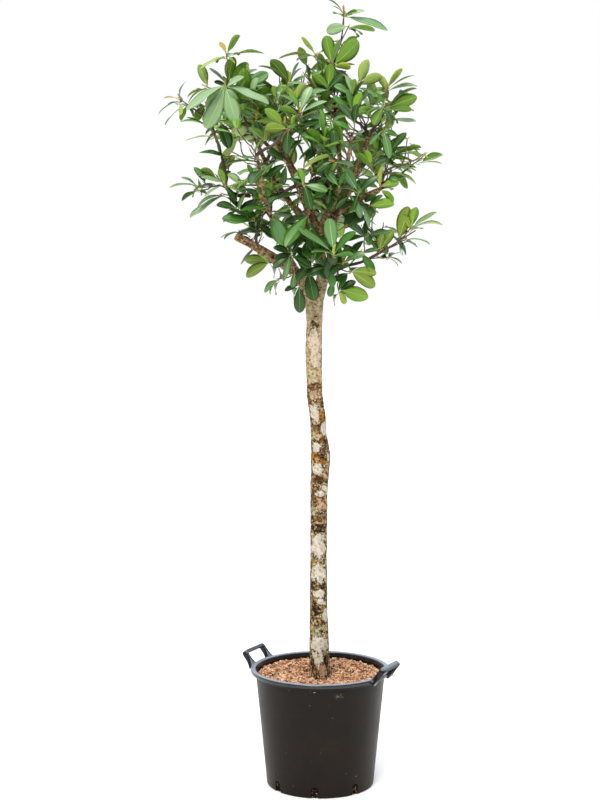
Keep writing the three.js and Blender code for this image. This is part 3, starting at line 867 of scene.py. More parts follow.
def lichened_bark():
    """Fig bark: smooth and tan where young, old and rough low down, under crusts of pale and green lichen."""
    material, tree = finish("lichened_fig_bark", "#8a704f", 0.88, Specular_IOR_Level=0.2)
    place = add(tree, "TexCoord", out="Object")
    fine = add(tree, "TexNoise", {"Vector": place, "Scale": 300.0, "Detail": 4.0, "Roughness": 0.65})
    broad = add(tree, "TexNoise", {"Vector": place, "Scale": 95.0, "Detail": 6.0, "Roughness": 0.68})
    flakes = add(tree, "TexNoise", {"Vector": place, "Scale": 185.0, "Detail": 2.0, "Distortion": 0.6})
    pits = add(tree, "TexNoise", {"Vector": place, "Scale": 140.0, "Detail": 3.0, "Distortion": 0.9})
    shade = {name: add(tree, "ValToRGB", {0: broad}, stops=stops) for name, stops in BARK_SHADES.items()}
    old, limb, cut_wood = (
        add(tree, "Attribute", out="Fac", attribute_name=name) for name in ("old_bark", "limb", "cut_wood")
    )

    def patch(name, low, high, ragged):
        """Where patches of a kind cover the bark, from their depth and the grain that frays their edge."""
        depth = add(tree, "Attribute", out="Fac", attribute_name=name)
        grain = add(tree, "Math", {0: fine, 1: 0.5}, operation="SUBTRACT")
        frayed = add(tree, "Math", {0: grain, 1: ragged, 2: depth}, operation="MULTIPLY_ADD")
        return add(tree, "MapRange", {0: frayed, 1: low, 2: high})

    flaked = add(tree, "MapRange", {0: flakes, 1: 0.57, 2: 0.63, 4: 0.85})
    thin = add(tree, "MapRange", {0: fine, 1: 0.3, 2: 0.5})
    moss = add(tree, "Math", {0: patch("moss", 0.0, 0.3, 0.9), 1: thin}, operation="MULTIPLY")
    greyer = add(tree, "Math", {0: old, 1: 0.9}, operation="MULTIPLY")
    crust = add(tree, "Mix", {0: greyer, 6: shade["pale"], 7: shade["grey_crust"]}, out=2, data_type="RGBA")
    crusted = patch("pale", 0.04, 0.14, 0.7)
    # Dark pits: deepest in old bark and on limbs, and mostly grown over under the crusts.
    rough = add(tree, "Math", {0: old, 1: limb}, operation="MAXIMUM")
    deep = add(tree, "MapRange", {0: rough, 3: 0.6, 4: 1.0})
    clean = add(tree, "MapRange", {0: crusted, 3: 1.0, 4: 0.35})
    pitted = add(tree, "MapRange", {0: pits, 1: 0.44, 2: 0.36})
    for share in (deep, clean):
        pitted = add(tree, "Math", {0: pitted, 1: share}, operation="MULTIPLY")
    fresh_cut = add(tree, "ValToRGB", {0: fine}, stops=[(0.35, "#6c4c2c"), (0.6, "#9c784d")])
    colour = shade["young"]
    for cover, coat in (
        (old, shade["old"]),
        (flaked, "#cbbb9d"),
        (limb, shade["limb"]),
        (patch("tan", 0.05, 0.25, 0.5), shade["tan"]),
        (patch("brown", 0.0, 0.3, 0.8), shade["brown"]),
        (patch("dark", -0.05, 0.2, 0.9), shade["dark"]),
        (moss, shade["moss"]),
        (patch("pale", -0.08, 0.06, 0.7), "#3d2c19"),
        (crusted, crust),
        (patch("ochre", 0.0, 0.25, 0.8), shade["ochre"]),
        (pitted, "#201409"),
        (cut_wood, fresh_cut),
    ):
        colour = add(tree, "Mix", {0: cover, 6: colour, 7: coat}, out=2, data_type="RGBA")
    height = add(tree, "Math", {0: fine, 1: broad}, operation="ADD")
    sunk = add(tree, "MapRange", {0: pits, 1: 0.33, 2: 0.41})
    height = add(tree, "Math", {0: height, 1: sunk}, operation="ADD")
    bump = add(tree, "Bump", {"Height": height, "Strength": 1.0, "Distance": 0.0018})
    return dressed(material, Base_Color=colour, Normal=bump)


def make_wood(material):
    """The stem and the thick boughs, grown together at their forks, with the bark's relief."""
    wood = Joined()
    wood.take(*stem_tube(), 0)
    for name in BOUGHS:
        if name not in THIN_BOUGHS:
            route, radii = bough_route(name, 12 * MM)
            points, faces = tube(route, radii, LIMB_SIDES)
            wood.take(points, faces, 0)
    made = wood.piece("stem_and_boughs", [material])
    applied(made, "REMESH", mode="VOXEL", voxel_size=WOOD_CELL, use_smooth_shade=True)
    applied(made, "SMOOTH", factor=0.5, iterations=4)
    mesh = made.data
    count = len(mesh.vertices)
    flat = np.zeros(count * 3)
    mesh.vertices.foreach_get("co", flat)
    points = flat.reshape(-1, 3).copy()
    mesh.vertex_normals.foreach_get("vector", flat)
    normals = flat.reshape(-1, 3)
    fields = mark_bark(points)
    lumps = np.array([noise.noise(Vector(p * 28)) for p in points])
    crust = np.array([noise.noise(Vector(p * 110)) + 0.6 * noise.noise(Vector(p * 230)) for p in points])
    wrinkles = np.array([noise.noise(Vector((p[0] * 40, p[1] * 40, p[2] * 240))) for p in points])
    limb = 0.3 * smooth_share(points[:, 2], 1.57, 1.60) + 0.7 * smooth_share(points[:, 2], 1.62, 1.72)
    lift = (0.9 * lumps + 0.5 * crust + 0.45 * wrinkles) * (1 + 0.8 * limb)
    lift += 0.7 * smooth_share(fields["pale"], 0.0, 0.2) + 0.4 * smooth_share(fields["tan"], 0.0, 0.2)
    lift -= smooth_share(fields["dark"], 0.0, 0.3) * (0.8 + 0.8 * crust)
    lift += smooth_share(fields["ochre"], 0.0, 0.3) * (0.6 + 1.2 * crust)
    foot = smooth_share(points[:, 2], DISH_LEVEL, DISH_LEVEL + 6 * MM)
    points += normals * (lift * MM * (0.4 + 0.6 * foot))[:, None]
    mesh.vertices.foreach_set("co", points.ravel())
    cut = np.zeros(count)
    for name in PRUNED_ENDS:
        route, radii = bough_route(name, 12 * MM)
        forward = unit(route[-1] - route[-2])
        offset = points - route[-1]
        depth = offset @ forward
        aside = np.linalg.norm(offset - np.outer(depth, forward), axis=1)
        cut = np.maximum(cut, smooth_share(depth, -2.5 * MM, -0.5 * MM) * (aside < 1.3 * radii[-1]))
    shares = dict(fields, old_bark=smooth_share(-points[:, 2], -1.33, -1.25), limb=limb, cut_wood=cut)
    for name, values in shares.items():
        mesh.attributes.new(name, "FLOAT", "POINT").data.foreach_set("value", values.astype(np.float32))
    mesh.update()
    return made


# ------------------------------------------------------------------ crown: where the shoots stand

# The sprays that make the crown's outline. Each names its mass and its place there, as shares of the mass's
# box across, back and up. Its leaves follow: the hour that each points to on a clock face seen from the
# front, its reach in mm, its kind, and how far its upper face (1) or its under face (-1) is turned there.
FANS = {
    "top": ("top_shoot", (0.43, 0.50, 0.66), [
        (9.9, 98, "deep", 0.2), (10.2, 42, "grey", 0.1), (2.7, 66, "pale", 0.5), (3.65, 146, "grey", 0.5),
        (2.3, 46, "green", -0.5)]),
    "top_second": ("top_shoot", (0.50, 0.32, 0.24), [
        (8.7, 72, "pale", 1), (3.3, 84, "fresh", -0.4)]),
    "top_whorl": ("top", (0.46, 0.45, 0.31), [
        (11.5, 90, "green", -0.95), (12.7, 84, "green", -0.5), (1.85, 112, "green", -0.95),
        (3.2, 60, "lime", -0.6), (4.2, 70, "deep", 0.4)]),
    "top_side": ("top", (0.63, 0.62, 0.82), [
        (2.2, 52, "fresh", -0.5)]),
    "top_red": ("top", (0.21, 0.62, 0.57), [
        (10.6, 70, "lime", -0.4), (8.5, 64, "lime", 0.4), (8.8, 118, "pale", 0.05), (4.4, 62, "deep", 0.1),
        (1.5, 30, "amber", 0.3)]),
    "upper_front": ("mid_upper", (0.36, 0.43, 0.69), [
        (12, 72, "green", -0.9), (10.3, 66, "green", -0.9), (1.6, 62, "deep", 0.8), (8.6, 60, "grey", 0.7)]),
    "upper_pale": ("mid_upper", (0.85, 0.56, 0.75), [
        (12.7, 84, "pale", -0.8), (2.2, 80, "pale", -0.8), (9.9, 84, "lime", 0.3), (4, 60, "grey", 0.6),
        (12.1, 30, "amber", 0.3)]),
    "upper_big": ("mid_upper", (0.74, 0.24, 0.26), [
        (0.9, 66, "fresh", -0.9), (11.5, 78, "green", 0.7), (10.4, 84, "green", 0.6),
        (2.4, 62, "green", -0.7),
        (8.7, 60, "grey", 0.5)]),
    "right_upper": ("right_upper", (0.48, 0.53, 0.59), [
        (1.3, 80, "lime", -0.5), (2.1, 98, "grey", 0.05), (2.7, 98, "pale", 0.35), (11, 60, "pale", -0.7),
        (8.6, 50, "pale", 0.9), (12.2, 30, "amber", 0.3)]),
    "right_edge": ("right_upper", (0.48, 0.37, 0.30), [
        (2.25, 98, "green", -0.95), (1.9, 112, "deep", 0.2), (3.05, 76, "green", -0.6),
        (10.8, 66, "green", 0.5), (8, 60, "deep", 0.8)]),
    "right_level": ("right_upper", (0.52, 0.59, 0.15), [
        (3.05, 86, "pale", 0.45), (11.6, 60, "green", -0.8), (1.2, 50, "deep", 0.6)]),
    "left_young": ("left_top", (0.43, 0.38, 0.42), [
        (11, 42, "amber", -0.6), (1.2, 74, "green", -0.5), (4.5, 38, "lime", 0.5), (8, 94, "lime", 0.35),
        (2.85, 122, "pale", 0.05)]),
    "left_stand": ("left_upper", (0.53, 0.78, 0.67), [
        (12.2, 86, "green", -0.9), (1.4, 92, "green", -0.9), (2.55, 110, "grey", 0.4),
        (10.4, 84, "deep", 0.35), (9.6, 50, "deep", 0.7), (1.9, 112, "grey", 0.4)]),
    "left_droop": ("left_upper", (0.52, 0.22, 0.60), [
        (7.75, 148, "pale", 0.5), (7.2, 96, "pale", 0.8), (6.7, 146, "pale", 1), (5.5, 118, "pale", 1),
        (3.9, 146, "pale", 0.5), (2, 64, "pale", 0.7), (4.6, 50, "pale", 0.8)]),
    "left_pale": ("left_upper", (0.25, 0.72, 0.62), [
        (11.2, 76, "grey", -0.9), (11.6, 36, "amber", 0.2), (7.7, 78, "pale", 0.1), (8.2, 70, "pale", 0.05),
        (4, 44, "fresh", 0.3)]),
    "far_left": ("far_left", (0.53, 0.44, 0.60), [
        (0.7, 62, "green", 0.2), (9.1, 54, "amber", 0.1), (7.9, 82, "green", 0.1), (6, 44, "pale", -0.6),
        (8.6, 40, "grey", 0.4)]),
    "far_left_low": ("far_left", (0.66, 0.59, 0.51), [
        (7.5, 98, "grey", 0.15), (6.7, 54, "fresh", -0.5), (3.6, 46, "grey", 0.3)]),
    "left_flat": ("left_upper", (0.31, 0.72, 0.02), [
        (9.4, 106, "green", 0.1), (9.9, 92, "pale", 0.05), (12.4, 60, "deep", 0.6)]),
    "left_flat_low": ("left_upper", (0.37, 0.66, -0.08), [
        (8.75, 98, "pale", 0.05), (5.6, 50, "grey", 0.5)]),
    "left_hang": ("left_upper", (0.43, 0.50, 0.13), [
        (5.5, 92, "deep", 0.95), (7.6, 62, "deep", 0.4), (3.4, 70, "green", -0.7)]),
    "left_arch": ("left_inner", (-0.01, 0.72, 0.98), [
        (9.3, 98, "green", 0.4), (3, 50, "pale", 0.1)]),
    "left_inner_a": ("left_upper", (0.85, 0.41, 0.42), [
        (12.4, 66, "pale", 0.8), (2.6, 80, "pale", 0.5), (9.4, 70, "green", -0.7), (4.8, 88, "green", -0.8),
        (1.2, 50, "amber", 0.4)]),
    "left_inner_b": ("left_upper", (0.90, 0.41, 0.15), [
        (9.7, 62, "pale", 0.9), (1.9, 82, "deep", -0.8), (12.4, 40, "amber", 0.6), (3.2, 74, "green", -0.8)]),
    "upper_dark": ("centre_upper", (0.56, 0.82, 0.72), [
        (10.6, 92, "deep", -0.9), (12.85, 70, "green", 0.35), (1.3, 62, "deep", 0.3),
        (11.6, 46, "lime", -0.5),
        (9.95, 120, "pale", 0.05), (2, 60, "grey", 0.5)]),
    "centre_pale": ("centre_upper", (0.72, 0.14, 0.26), [
        (12.9, 84, "pale", 0.9), (11, 70, "fresh", 0.5), (2.2, 90, "pale", 0.5), (1.7, 96, "pale", 0.08),
        (9.6, 66, "green", -0.7), (3.3, 66, "grey", 0.6), (12.2, 34, "amber", 0.5)]),
    "centre_deep": ("centre_upper", (0.60, 0.10, 0.05), [
        (2.6, 92, "deep", 0.6), (1.95, 98, "pale", 0.06), (3.7, 78, "grey", 0.7), (8.3, 70, "deep", 0.6),
        (12.5, 50, "lime", -0.5)]),
    "middle_olive": ("left_mid", (0.67, 0.67, 0.72), [
        (1.3, 88, "olive", -0.8), (2.4, 50, "deep", 0.6), (9.9, 60, "olive", -0.6), (9.3, 60, "grey", 0.4)]),
    "middle_tip": ("left_mid", (0.46, 0.52, 0.54), [
        (8.85, 92, "grey", 0.15), (9.9, 62, "grey", 0.3), (2.8, 50, "deep", 0.4)]),
    "middle_pale": ("left_mid", (0.78, 0.36, 0.57), [
        (9.5, 80, "pale", 0.5), (7.9, 78, "pale", 0.35), (3.5, 70, "pale", 0.8), (5, 62, "deep", 0.7),
        (11.2, 58, "green", -0.7)]),
    "middle_long": ("left_inner", (-0.09, 0.64, 0.42), [
        (7.8, 136, "pale", 0.4), (8.15, 96, "grey", 0.3), (4.3, 78, "deep", 0.5)]),
    "middle_up": ("left_inner", (0.26, 0.49, 0.54), [
        (10.2, 66, "pale", 0.8), (1.45, 86, "pale", 0.5), (4.3, 60, "deep", 0.7)]),
    "crook": ("left_inner", (0.54, 0.41, 0.28), [
        (10.5, 40, "lime", 0.3), (8.6, 32, "amber", 0.4), (1, 44, "amber", 0.5), (11.8, 64, "amber", -0.6),
        (0.9, 84, "fresh", -0.9), (2, 56, "deep", 0.5)]),
    "crook_low": ("left_inner", (0.15, 0.56, 0.19), [
        (9.4, 70, "deep", 0.7), (7.7, 60, "deep", 0.5), (3.8, 72, "green", 0.8), (1.9, 66, "deep", 0.6),
        (12.7, 60, "grey", 0.6)]),
    "crook_leaf": ("left_inner", (0.45, 0.37, 0.01), [
        (9.1, 104, "green", 0.75), (9.8, 90, "deep", 0.3), (4.4, 64, "deep", 0.8), (1.5, 60, "deep", 0.6)]),
    "crook_hang": ("left_crook", (0.46, -0.13, 0.40), [
        (3.7, 60, "deep", 0.9), (2.9, 70, "green", 0.7), (10.2, 54, "deep", 0.8), (9.2, 50, "grey", 0.5)]),
    "bough_end": ("left_crook", (0.13, 0.02, 0.38), [
        (8.1, 58, "deep", 0.2), (8.4, 66, "grey", 0.1), (4.6, 60, "deep", 0.7)]),
    "hang_left": ("centre_low", (0.03, 0.49, 0.27), [
        (10.9, 98, "grey", 0.95), (9.4, 58, "deep", 0.8), (6.4, 80, "grey", 0.6), (1.3, 76, "deep", 0.7),
        (4, 74, "deep", 0.9), (7.8, 66, "deep", 0.8), (12.1, 60, "deep", 0.6)]),
    "left_low": ("left_low", (0.66, 0.43, 0.69), [
        (8.1, 92, "olive", -0.9), (9.3, 86, "olive", -0.9), (10.2, 54, "olive", -0.5)]),
    "fork_droop": ("under_left", (0.68, 0.61, 0.87), [
        (7.5, 64, "grey", 0.6), (6.9, 58, "lime", 0.2)]),
    "fork_left": ("centre_low", (0.07, 0.71, 0.23), [
        (6.7, 92, "grey", 0.5), (8.6, 66, "deep", 0.6), (4.6, 80, "deep", 0.9), (2.6, 64, "green", 0.8)]),
    "fork_front": ("centre_low", (0.30, 0.62, 0.12), [
        (7.2, 78, "deep", 0.8), (4.4, 78, "deep", 0.9), (1.6, 66, "green", 0.8), (10.4, 70, "deep", 0.7),
        (12.4, 60, "grey", 0.8)]),
    "fork_right": ("centre_low", (0.50, 0.62, 0.03), [
        (8.2, 72, "deep", 0.9), (5.3, 66, "green", 0.9), (2.8, 74, "green", 0.7), (10.6, 66, "grey", 0.7)]),
    "fork_round": ("under_front", (0.28, 0.54, 0.89), [
        (6.2, 54, "grey", 1)]),
    "under_front": ("under_front", (0.42, 0.54, 0.60), [
        (5.9, 90, "deep", 1), (8.2, 50, "deep", 0.7)]),
    "under_point": ("under_front", (0.72, 0.36, 0.96), [
        (5.7, 104, "deep", 1)]),
    "right_middle": ("right_mid", (0.35, 0.42, 0.47), [
        (2.4, 106, "green", -0.4), (3.05, 126, "pale", 0.1), (3.8, 84, "pale", 0.1), (0.9, 66, "deep", 0.6),
        (11.4, 60, "green", -0.6)]),
    "right_middle_b": ("right_mid", (0.36, 0.42, 0.24), [
        (3.1, 84, "grey", 0.15), (3.9, 92, "lime", 0.3), (4.5, 74, "green", -0.5), (8.5, 62, "deep", 0.7)]),
    "right_green": ("right_mid", (0.18, 0.36, 0.51), [
        (1.3, 72, "green", 0.7), (11.6, 60, "fresh", -0.7), (3.8, 62, "deep", 0.7)]),
    "right_round": ("right_centre", (0.70, 0.72, 0.27), [
        (2.6, 62, "fresh", -0.9), (12.2, 70, "lime", -0.5), (9.5, 66, "green", 0.7), (4.4, 58, "green", -0.7),
        (7.6, 60, "deep", 0.8)]),
    "right_round_low": ("right_centre", (0.51, 0.72, -0.10), [
        (2.9, 84, "fresh", -0.8), (9.9, 66, "deep", 0.7), (1.6, 60, "green", 0.6)]),
    "pale_hang": ("right_centre", (0.36, 0.72, 0.02), [
        (5.4, 92, "pale", 0.5), (6.1, 84, "grey", 0.35), (8.5, 62, "deep", 0.7), (4.2, 60, "deep", 0.6)]),
    "right_low_up": ("right_low", (0.11, 0.49, 0.23), [
        (0.6, 116, "olive", -0.95)]),
    "right_low": ("right_low", (0.33, 0.49, 0.52), [
        (0.5, 68, "fresh", -0.95), (1.9, 96, "pale", 0.35), (2.85, 106, "pale", 0.1),
        (11, 54, "olive", -0.9)]),
    "right_low_b": ("right_low", (0.23, 0.54, 0.27), [
        (3.4, 86, "grey", 0.05), (4, 46, "grey", 0.1)]),
    "right_low_c": ("right_low", (-0.06, 0.54, -0.09), [
        (3.9, 50, "green", 0.05), (4.4, 44, "grey", 0.1)]),
    "right_olive": ("right_inner_low", (0.65, 0.22, 0.13), [
        (1.2, 78, "olive", -0.95), (0.3, 60, "olive", -0.9), (10.6, 56, "grey", 0.6)]),
    "centre_low": ("centre_low", (0.60, 0.22, 0.26), [
        (11.7, 104, "grey", 1), (10.1, 136, "grey", 0.45), (1.55, 96, "green", 0.6), (9.1, 72, "grey", 0.3),
        (2.9, 60, "green", 0.7), (12.3, 40, "lime", -0.5)]),
    "low_right": ("centre_low", (0.73, 0.44, 0.10), [
        (2.2, 72, "grey", 0.8), (7.6, 56, "deep", 0.7), (12.6, 56, "green", 0.7)]),
    "low_hang": ("right_inner_low", (0.30, 0.04, 0.11), [
        (4.9, 84, "green", 0.9), (9.6, 66, "deep", 0.6), (2.6, 60, "grey", 0.6)]),
    "low_inner": ("right_inner_low", (0.39, 0.13, 0.38), [
        (2.7, 84, "grey", 0.5), (8.7, 62, "green", 0.7), (10.2, 72, "grey", 0.6), (12.4, 60, "deep", 0.6),
        (7.4, 66, "deep", 0.8)]),
    "under_right": ("under_right", (0.43, 0.17, 0.93), [
        (4.1, 94, "olive", -0.95), (3.1, 84, "olive", -0.9), (8, 60, "deep", 0.8)]),
    "under_right_b": ("under_right", (0.23, 0.22, 0.45), [
        (3.6, 100, "fresh", -0.95), (5.2, 50, "lime", -0.8), (2.2, 64, "deep", 0.8), (1, 60, "green", 0.7)]),
    "under_round": ("under_right", (0.15, 0.13, 0.69), [
        (6.5, 54, "green", 1)]),
    "heart_right": ("right_centre", (0.32, 0.07, 0.14), [
        (10.86, 89, "grey", 0.9), (1.8, 79, "deep", 0.8), (9.4, 65, "grey", 0.3), (6.5, 50, "deep", 0.8)]),
    "heart_right_low": ("right_centre", (0.19, 0.16, 0.10), [
        (5.1, 82, "grey", 0.8), (7.4, 60, "deep", 0.7)]),
    "heart_left": ("centre", (0.96, 0.33, 0.36), [
        (10.6, 68, "grey", 0.9), (2.9, 40, "deep", 0.5), (12.7, 56, "green", 0.7)]),
    "heart_dark": ("front_right", (0.32, 0.59, 0.16), [
        (8, 62, "deep", 0.8), (10.8, 56, "deep", 0.6), (3.4, 60, "grey", 0.6)]),
    "heart_round": ("centre", (0.55, 0.33, 0.58), [
        (8.15, 60, "grey", 0.95), (1, 60, "deep", 0.6), (3.6, 50, "deep", 0.8)]),
    "heart_point": ("centre", (0.43, 0.24, 0.39), [
        (5.5, 80, "deep", 1), (3.6, 74, "grey", 0.9), (9.9, 50, "deep", 0.6), (11.4, 56, "green", -0.7)]),
    "heart_low": ("centre", (0.84, 0.33, 0.35), [
        (8, 58, "green", 0.9), (6.3, 50, "deep", 0.8)]),
    "inner_dark": ("left_inner", (0.99, 0.06, 0.86), [
        (7.74, 78, "deep", 0.85), (10, 72, "deep", 0.6), (6.2, 64, "deep", 0.8)]),
    "crook_grey": ("left_inner", (0.59, 0.33, 0.11), [
        (1.2, 66, "grey", 0.75), (10.4, 50, "deep", 0.6)]),
    "right_fresh": ("right_mid", (0.10, 0.10, 0.29), [
        (11.5, 52, "fresh", -0.9), (10.4, 66, "green", -0.7), (2.1, 56, "deep", 0.7)]),
    "right_step": ("right_mid", (0.25, 0.23, 0.90), [
        (5.5, 96, "grey", 0.85), (3.9, 50, "green", 0.8), (7.5, 62, "grey", 0.6)]),
    "right_lift": ("right_mid", (0.33, 0.23, 0.52), [
        (1.4, 80, "deep", 0.8), (11, 56, "green", 0.6)]),
    "upper_hang": ("right_upper", (0.40, 0.15, 0.30), [
        (7, 66, "green", -0.9), (8.2, 60, "grey", 0.2), (5.2, 60, "deep", 0.6)]),
    "upper_step": ("front_right", (0.55, 0.74, 0.59), [
        (10.9, 78, "deep", 0.75), (12.2, 66, "deep", 0.8)]),
    "upper_drop": ("front_right", (0.28, 0.67, 0.65), [
        (5.6, 84, "grey", 0.95), (3.9, 66, "green", 0.7), (8, 56, "deep", 0.7)]),
    "crest": ("centre_upper", (0.65, 0.25, 0.41), [
        (1, 60, "pale", -0.8), (11.2, 42, "amber", 0.5), (2.3, 70, "grey", 0.7), (9.9, 66, "pale", 0.6),
        (10.7, 72, "pale", -0.5), (12.1, 46, "lime", -0.7)]),
    "middle_fresh": ("centre_upper", (0.49, 0.03, 0.05), [
        (10.4, 84, "fresh", -0.85), (8.9, 58, "pale", -0.8), (12.1, 40, "amber", 0.4)]),
    "crest_right": ("mid_upper", (0.73, 0.37, 0.56), [
        (11.3, 62, "pale", 0.6), (10, 64, "grey", 0.8), (12.4, 56, "green", -0.8)]),
    "left_behind": ("left_upper", (0.22, 0.88, 0.40), [
        (7.2, 64, "green", -0.8), (5.4, 66, "deep", 0.7), (9, 50, "deep", 0.7)]),
    "middle_back": ("left_mid", (0.53, 0.71, 0.60), [
        (10.9, 64, "grey", 0.8), (12.2, 50, "deep", 0.6)]),
    "stone_leaf": ("front_left", (0.83, 0.72, 0.74), [
        (6.1, 80, "deep", 0.95), (8.9, 72, "olive", -0.85)]),
    "left_grey": ("left_upper", (0.73, 0.53, 0.58), [
        (1.95, 92, "grey", 1), (2.7, 72, "pale", 0.4), (11.7, 50, "green", -0.9)]),
    "middle_tip_low": ("left_mid", (0.46, 0.52, 0.47), [
        (7.9, 62, "deep", 0.6)]),
    "crest_back": ("centre_upper", (0.86, 0.68, 0.68), [
        (11.6, 60, "deep", 0.5), (1.4, 60, "grey", 0.6), (9.2, 64, "pale", 0.4)]),
}  # fmt: skip

# More shoots that fill the front: mass, place in it, the way each points and how it holds its leaves.
LEADERS = {
    "upper_b": ("centre_upper", (0.75, 0.46, 0.19), (0.1, -0.2, 1), "upright"),
    "left_blue": ("left_upper", (0.79, 0.59, 0.52), (0.5, 0, 1), "upright"),
    "left_small": ("centre_upper", (0.15, 0.61, 0.23), (0.3, -0.2, 1), "young"),
    "left_green": ("centre_upper", (0.30, 0.54, 0.23), (0.4, -0.2, 0.8), "level"),
    "inner_a": ("right_centre", (0.11, 0.26, 0.62), (0, -0.6, 0.7), "nodding"),
    "inner_b": ("centre", (0.80, 0.42, 0.50), (-0.2, -0.6, 0.5), "nodding"),
    "inner_c": ("centre", (0.35, 0.42, 0.32), (-0.2, -0.6, 0.5), "nodding"),
    "inner_d": ("centre", (0.50, 0.42, 0.04), (0, -0.6, 0.4), "nodding"),
    "inner_e": ("centre_low", (0.75, 0.53, 0.69), (0.2, -0.5, 0.6), "nodding"),
    "inner_f": ("centre_upper", (0.70, 0.25, 0.06), (-0.2, -0.6, 0.6), "nodding"),
    "inner_g": ("centre", (0.60, 0.79, 0.96), (0.2, -0.5, 0.8), "upright"),
    "inner_h": ("centre_upper", (0.80, 0.61, 0.10), (0, -0.4, 1), "level"),
    "inner_i": ("mid_upper", (0.40, 0.31, 0.06), (0.2, -0.5, 0.8), "nodding"),
    "inner_j": ("left_inner", (0.43, 0.10, 0.64), (-0.3, -0.6, 0.7), "level"),
    "inner_k": ("left_inner", (0.70, 0.06, 0.21), (-0.2, -0.6, 0.6), "nodding"),
    "inner_l": ("left_crook", (0.58, 0.02, 0.64), (-0.3, -0.5, 0.6), "nodding"),
    "gap_a": ("back_left", (0.28, -0.07, 0.66), (-0.3, 0.2, 1), "level"),
    "gap_b": ("back_left", (0.50, 0.02, 0.75), (0, 0.3, 1), "upright"),
    "gap_c": ("back_left", (0.69, -0.01, 0.59), (0.2, -0.2, 1), "level"),
    "gap_d": ("back_left", (0.56, 0.02, 0.11), (-0.3, -0.2, 0.8), "nodding"),
    "gap_e": ("back_top", (0.26, 0.15, 0.24), (0, 0.2, 1), "upright"),
    "gap_f": ("back_top", (0.50, 0.26, 0.52), (0, 0.1, 1), "level"),
    "gap_g": ("back_top", (0.69, 0.19, 0.25), (0.1, -0.2, 1), "upright"),
    "gap_h": ("back_right", (0.31, 0.00, 0.76), (0.2, 0.2, 1), "level"),
    "gap_i": ("back_right", (0.60, 0.03, 0.77), (0.4, 0.1, 0.9), "upright"),
    "gap_j": ("back_right", (0.17, 0.00, 0.42), (0, 0.3, 0.8), "nodding"),
    "gap_k": ("back_right", (0.64, 0.10, 0.42), (0.5, 0.2, 0.7), "level"),
    "gap_l": ("back_right", (0.48, 0.03, 0.13), (0.3, -0.2, 0.8), "nodding"),
    "gap_m": ("back_low", (0.40, 0.02, 0.85), (-0.1, 0.3, 0.9), "level"),
    "gap_n": ("back_low", (0.27, 0.02, 0.37), (-0.3, 0.2, 0.8), "nodding"),
    "gap_o": ("back_low", (0.69, 0.02, 0.37), (0.3, 0.2, 0.8), "level"),
    "gap_p": ("back_left", (0.37, 0.12, 0.48), (-0.4, 0.3, 0.8), "nodding"),
}

# Sky shows through the crown here: shares of the crown's width and height, then half sizes in mm.
OPENINGS = [
    (0.69, 0.61, 41, 22), (0.73, 0.65, 14, 14), (0.65, 0.51, 22, 22), (0.47, 0.40, 20, 24),
    (0.50, 0.33, 26, 16), (0.31, 0.53, 36, 32), (0.37, 0.52, 20, 26), (0.78, 0.54, 14, 18),
    (0.69, 0.23, 22, 22), (0.48, 0.80, 26, 30), (0.86, 0.60, 36, 30), (0.29, 0.47, 24, 20),
    (0.35, 0.79, 26, 26), (0.69, 0.79, 20, 18), (0.53, 0.81, 18, 22), (0.39, 0.76, 24, 16),
    (0.93, 0.45, 50, 34), (0.84, 0.54, 16, 12), (0.75, 0.77, 12, 14), (0.88, 0.34, 40, 30),
    (0.17, 0.53, 30, 22), (0.65, 0.58, 18, 12), (0.92, 0.56, 32, 26), (0.78, 0.80, 20, 16),
    (0.41, 0.83, 20, 14), (0.78, 0.31, 22, 20), (0.20, 0.49, 28, 19), (0.26, 0.44, 25, 12),
    (0.16, 0.35, 25, 22), (0.64, 0.50, 16, 19), (0.22, 0.54, 22, 19), (0.49, 0.76, 16, 19),
    (0.45, 0.36, 19, 16), (0.36, 0.51, 12, 19), (0.70, 0.21, 12, 16), (0.23, 0.35, 16, 12),
    (0.83, 0.49, 19, 9), (0.81, 0.60, 16, 12), (0.51, 0.75, 12, 12), (0.37, 0.22, 25, 16),
    (0.41, 0.19, 22, 16), (0.39, 0.24, 12, 19),
]  # fmt: skip

# Thin outer masses that the leaders fill alone.
LED_MASSES = (
    "leaves_top_shoot", "leaves_left_top", "leaves_far_left", "leaves_left_mid", "leaves_right_low",
    "leaves_left_low", "leaves_under_front", "leaves_under_left", "leaves_under_right",
)  # fmt: skip
MASS_NODES = sorted(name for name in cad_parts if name.startswith("leaves_"))
CROWN_LOW = np.min([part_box(name)[0] for name in MASS_NODES], axis=0)
CROWN_HIGH = np.max([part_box(name)[1] for name in MASS_NODES], axis=0)
SHOOT_SPACING = 94 * MM
SHOOT_FILL = 0.82  # how full of shoots a mass is, against an even packing
BALL = 4.19  # a ball's volume for a radius of one
TWIG_SIDES = 7
SIDE_VEINS = 13
LEAF_TO_LEAF = 137.5  # degrees round the shoot from one leaf to the next
STALK_SHARE = 0.12
TRIMMED = 0.78  # a leaf that doesn't fit the crown is tried once more at this size
LEAF_LENGTH = 93 * MM
FAN_CLEARANCE = 70 * MM  # no other shoot stands this close in front of a spray of the outline
OUTLINE_ALLOWANCE = 12 * MM
LEADER_ALLOWANCE = 110 * MM
CROWN_HEART = np.array([-0.02, 0.0, 1.78])

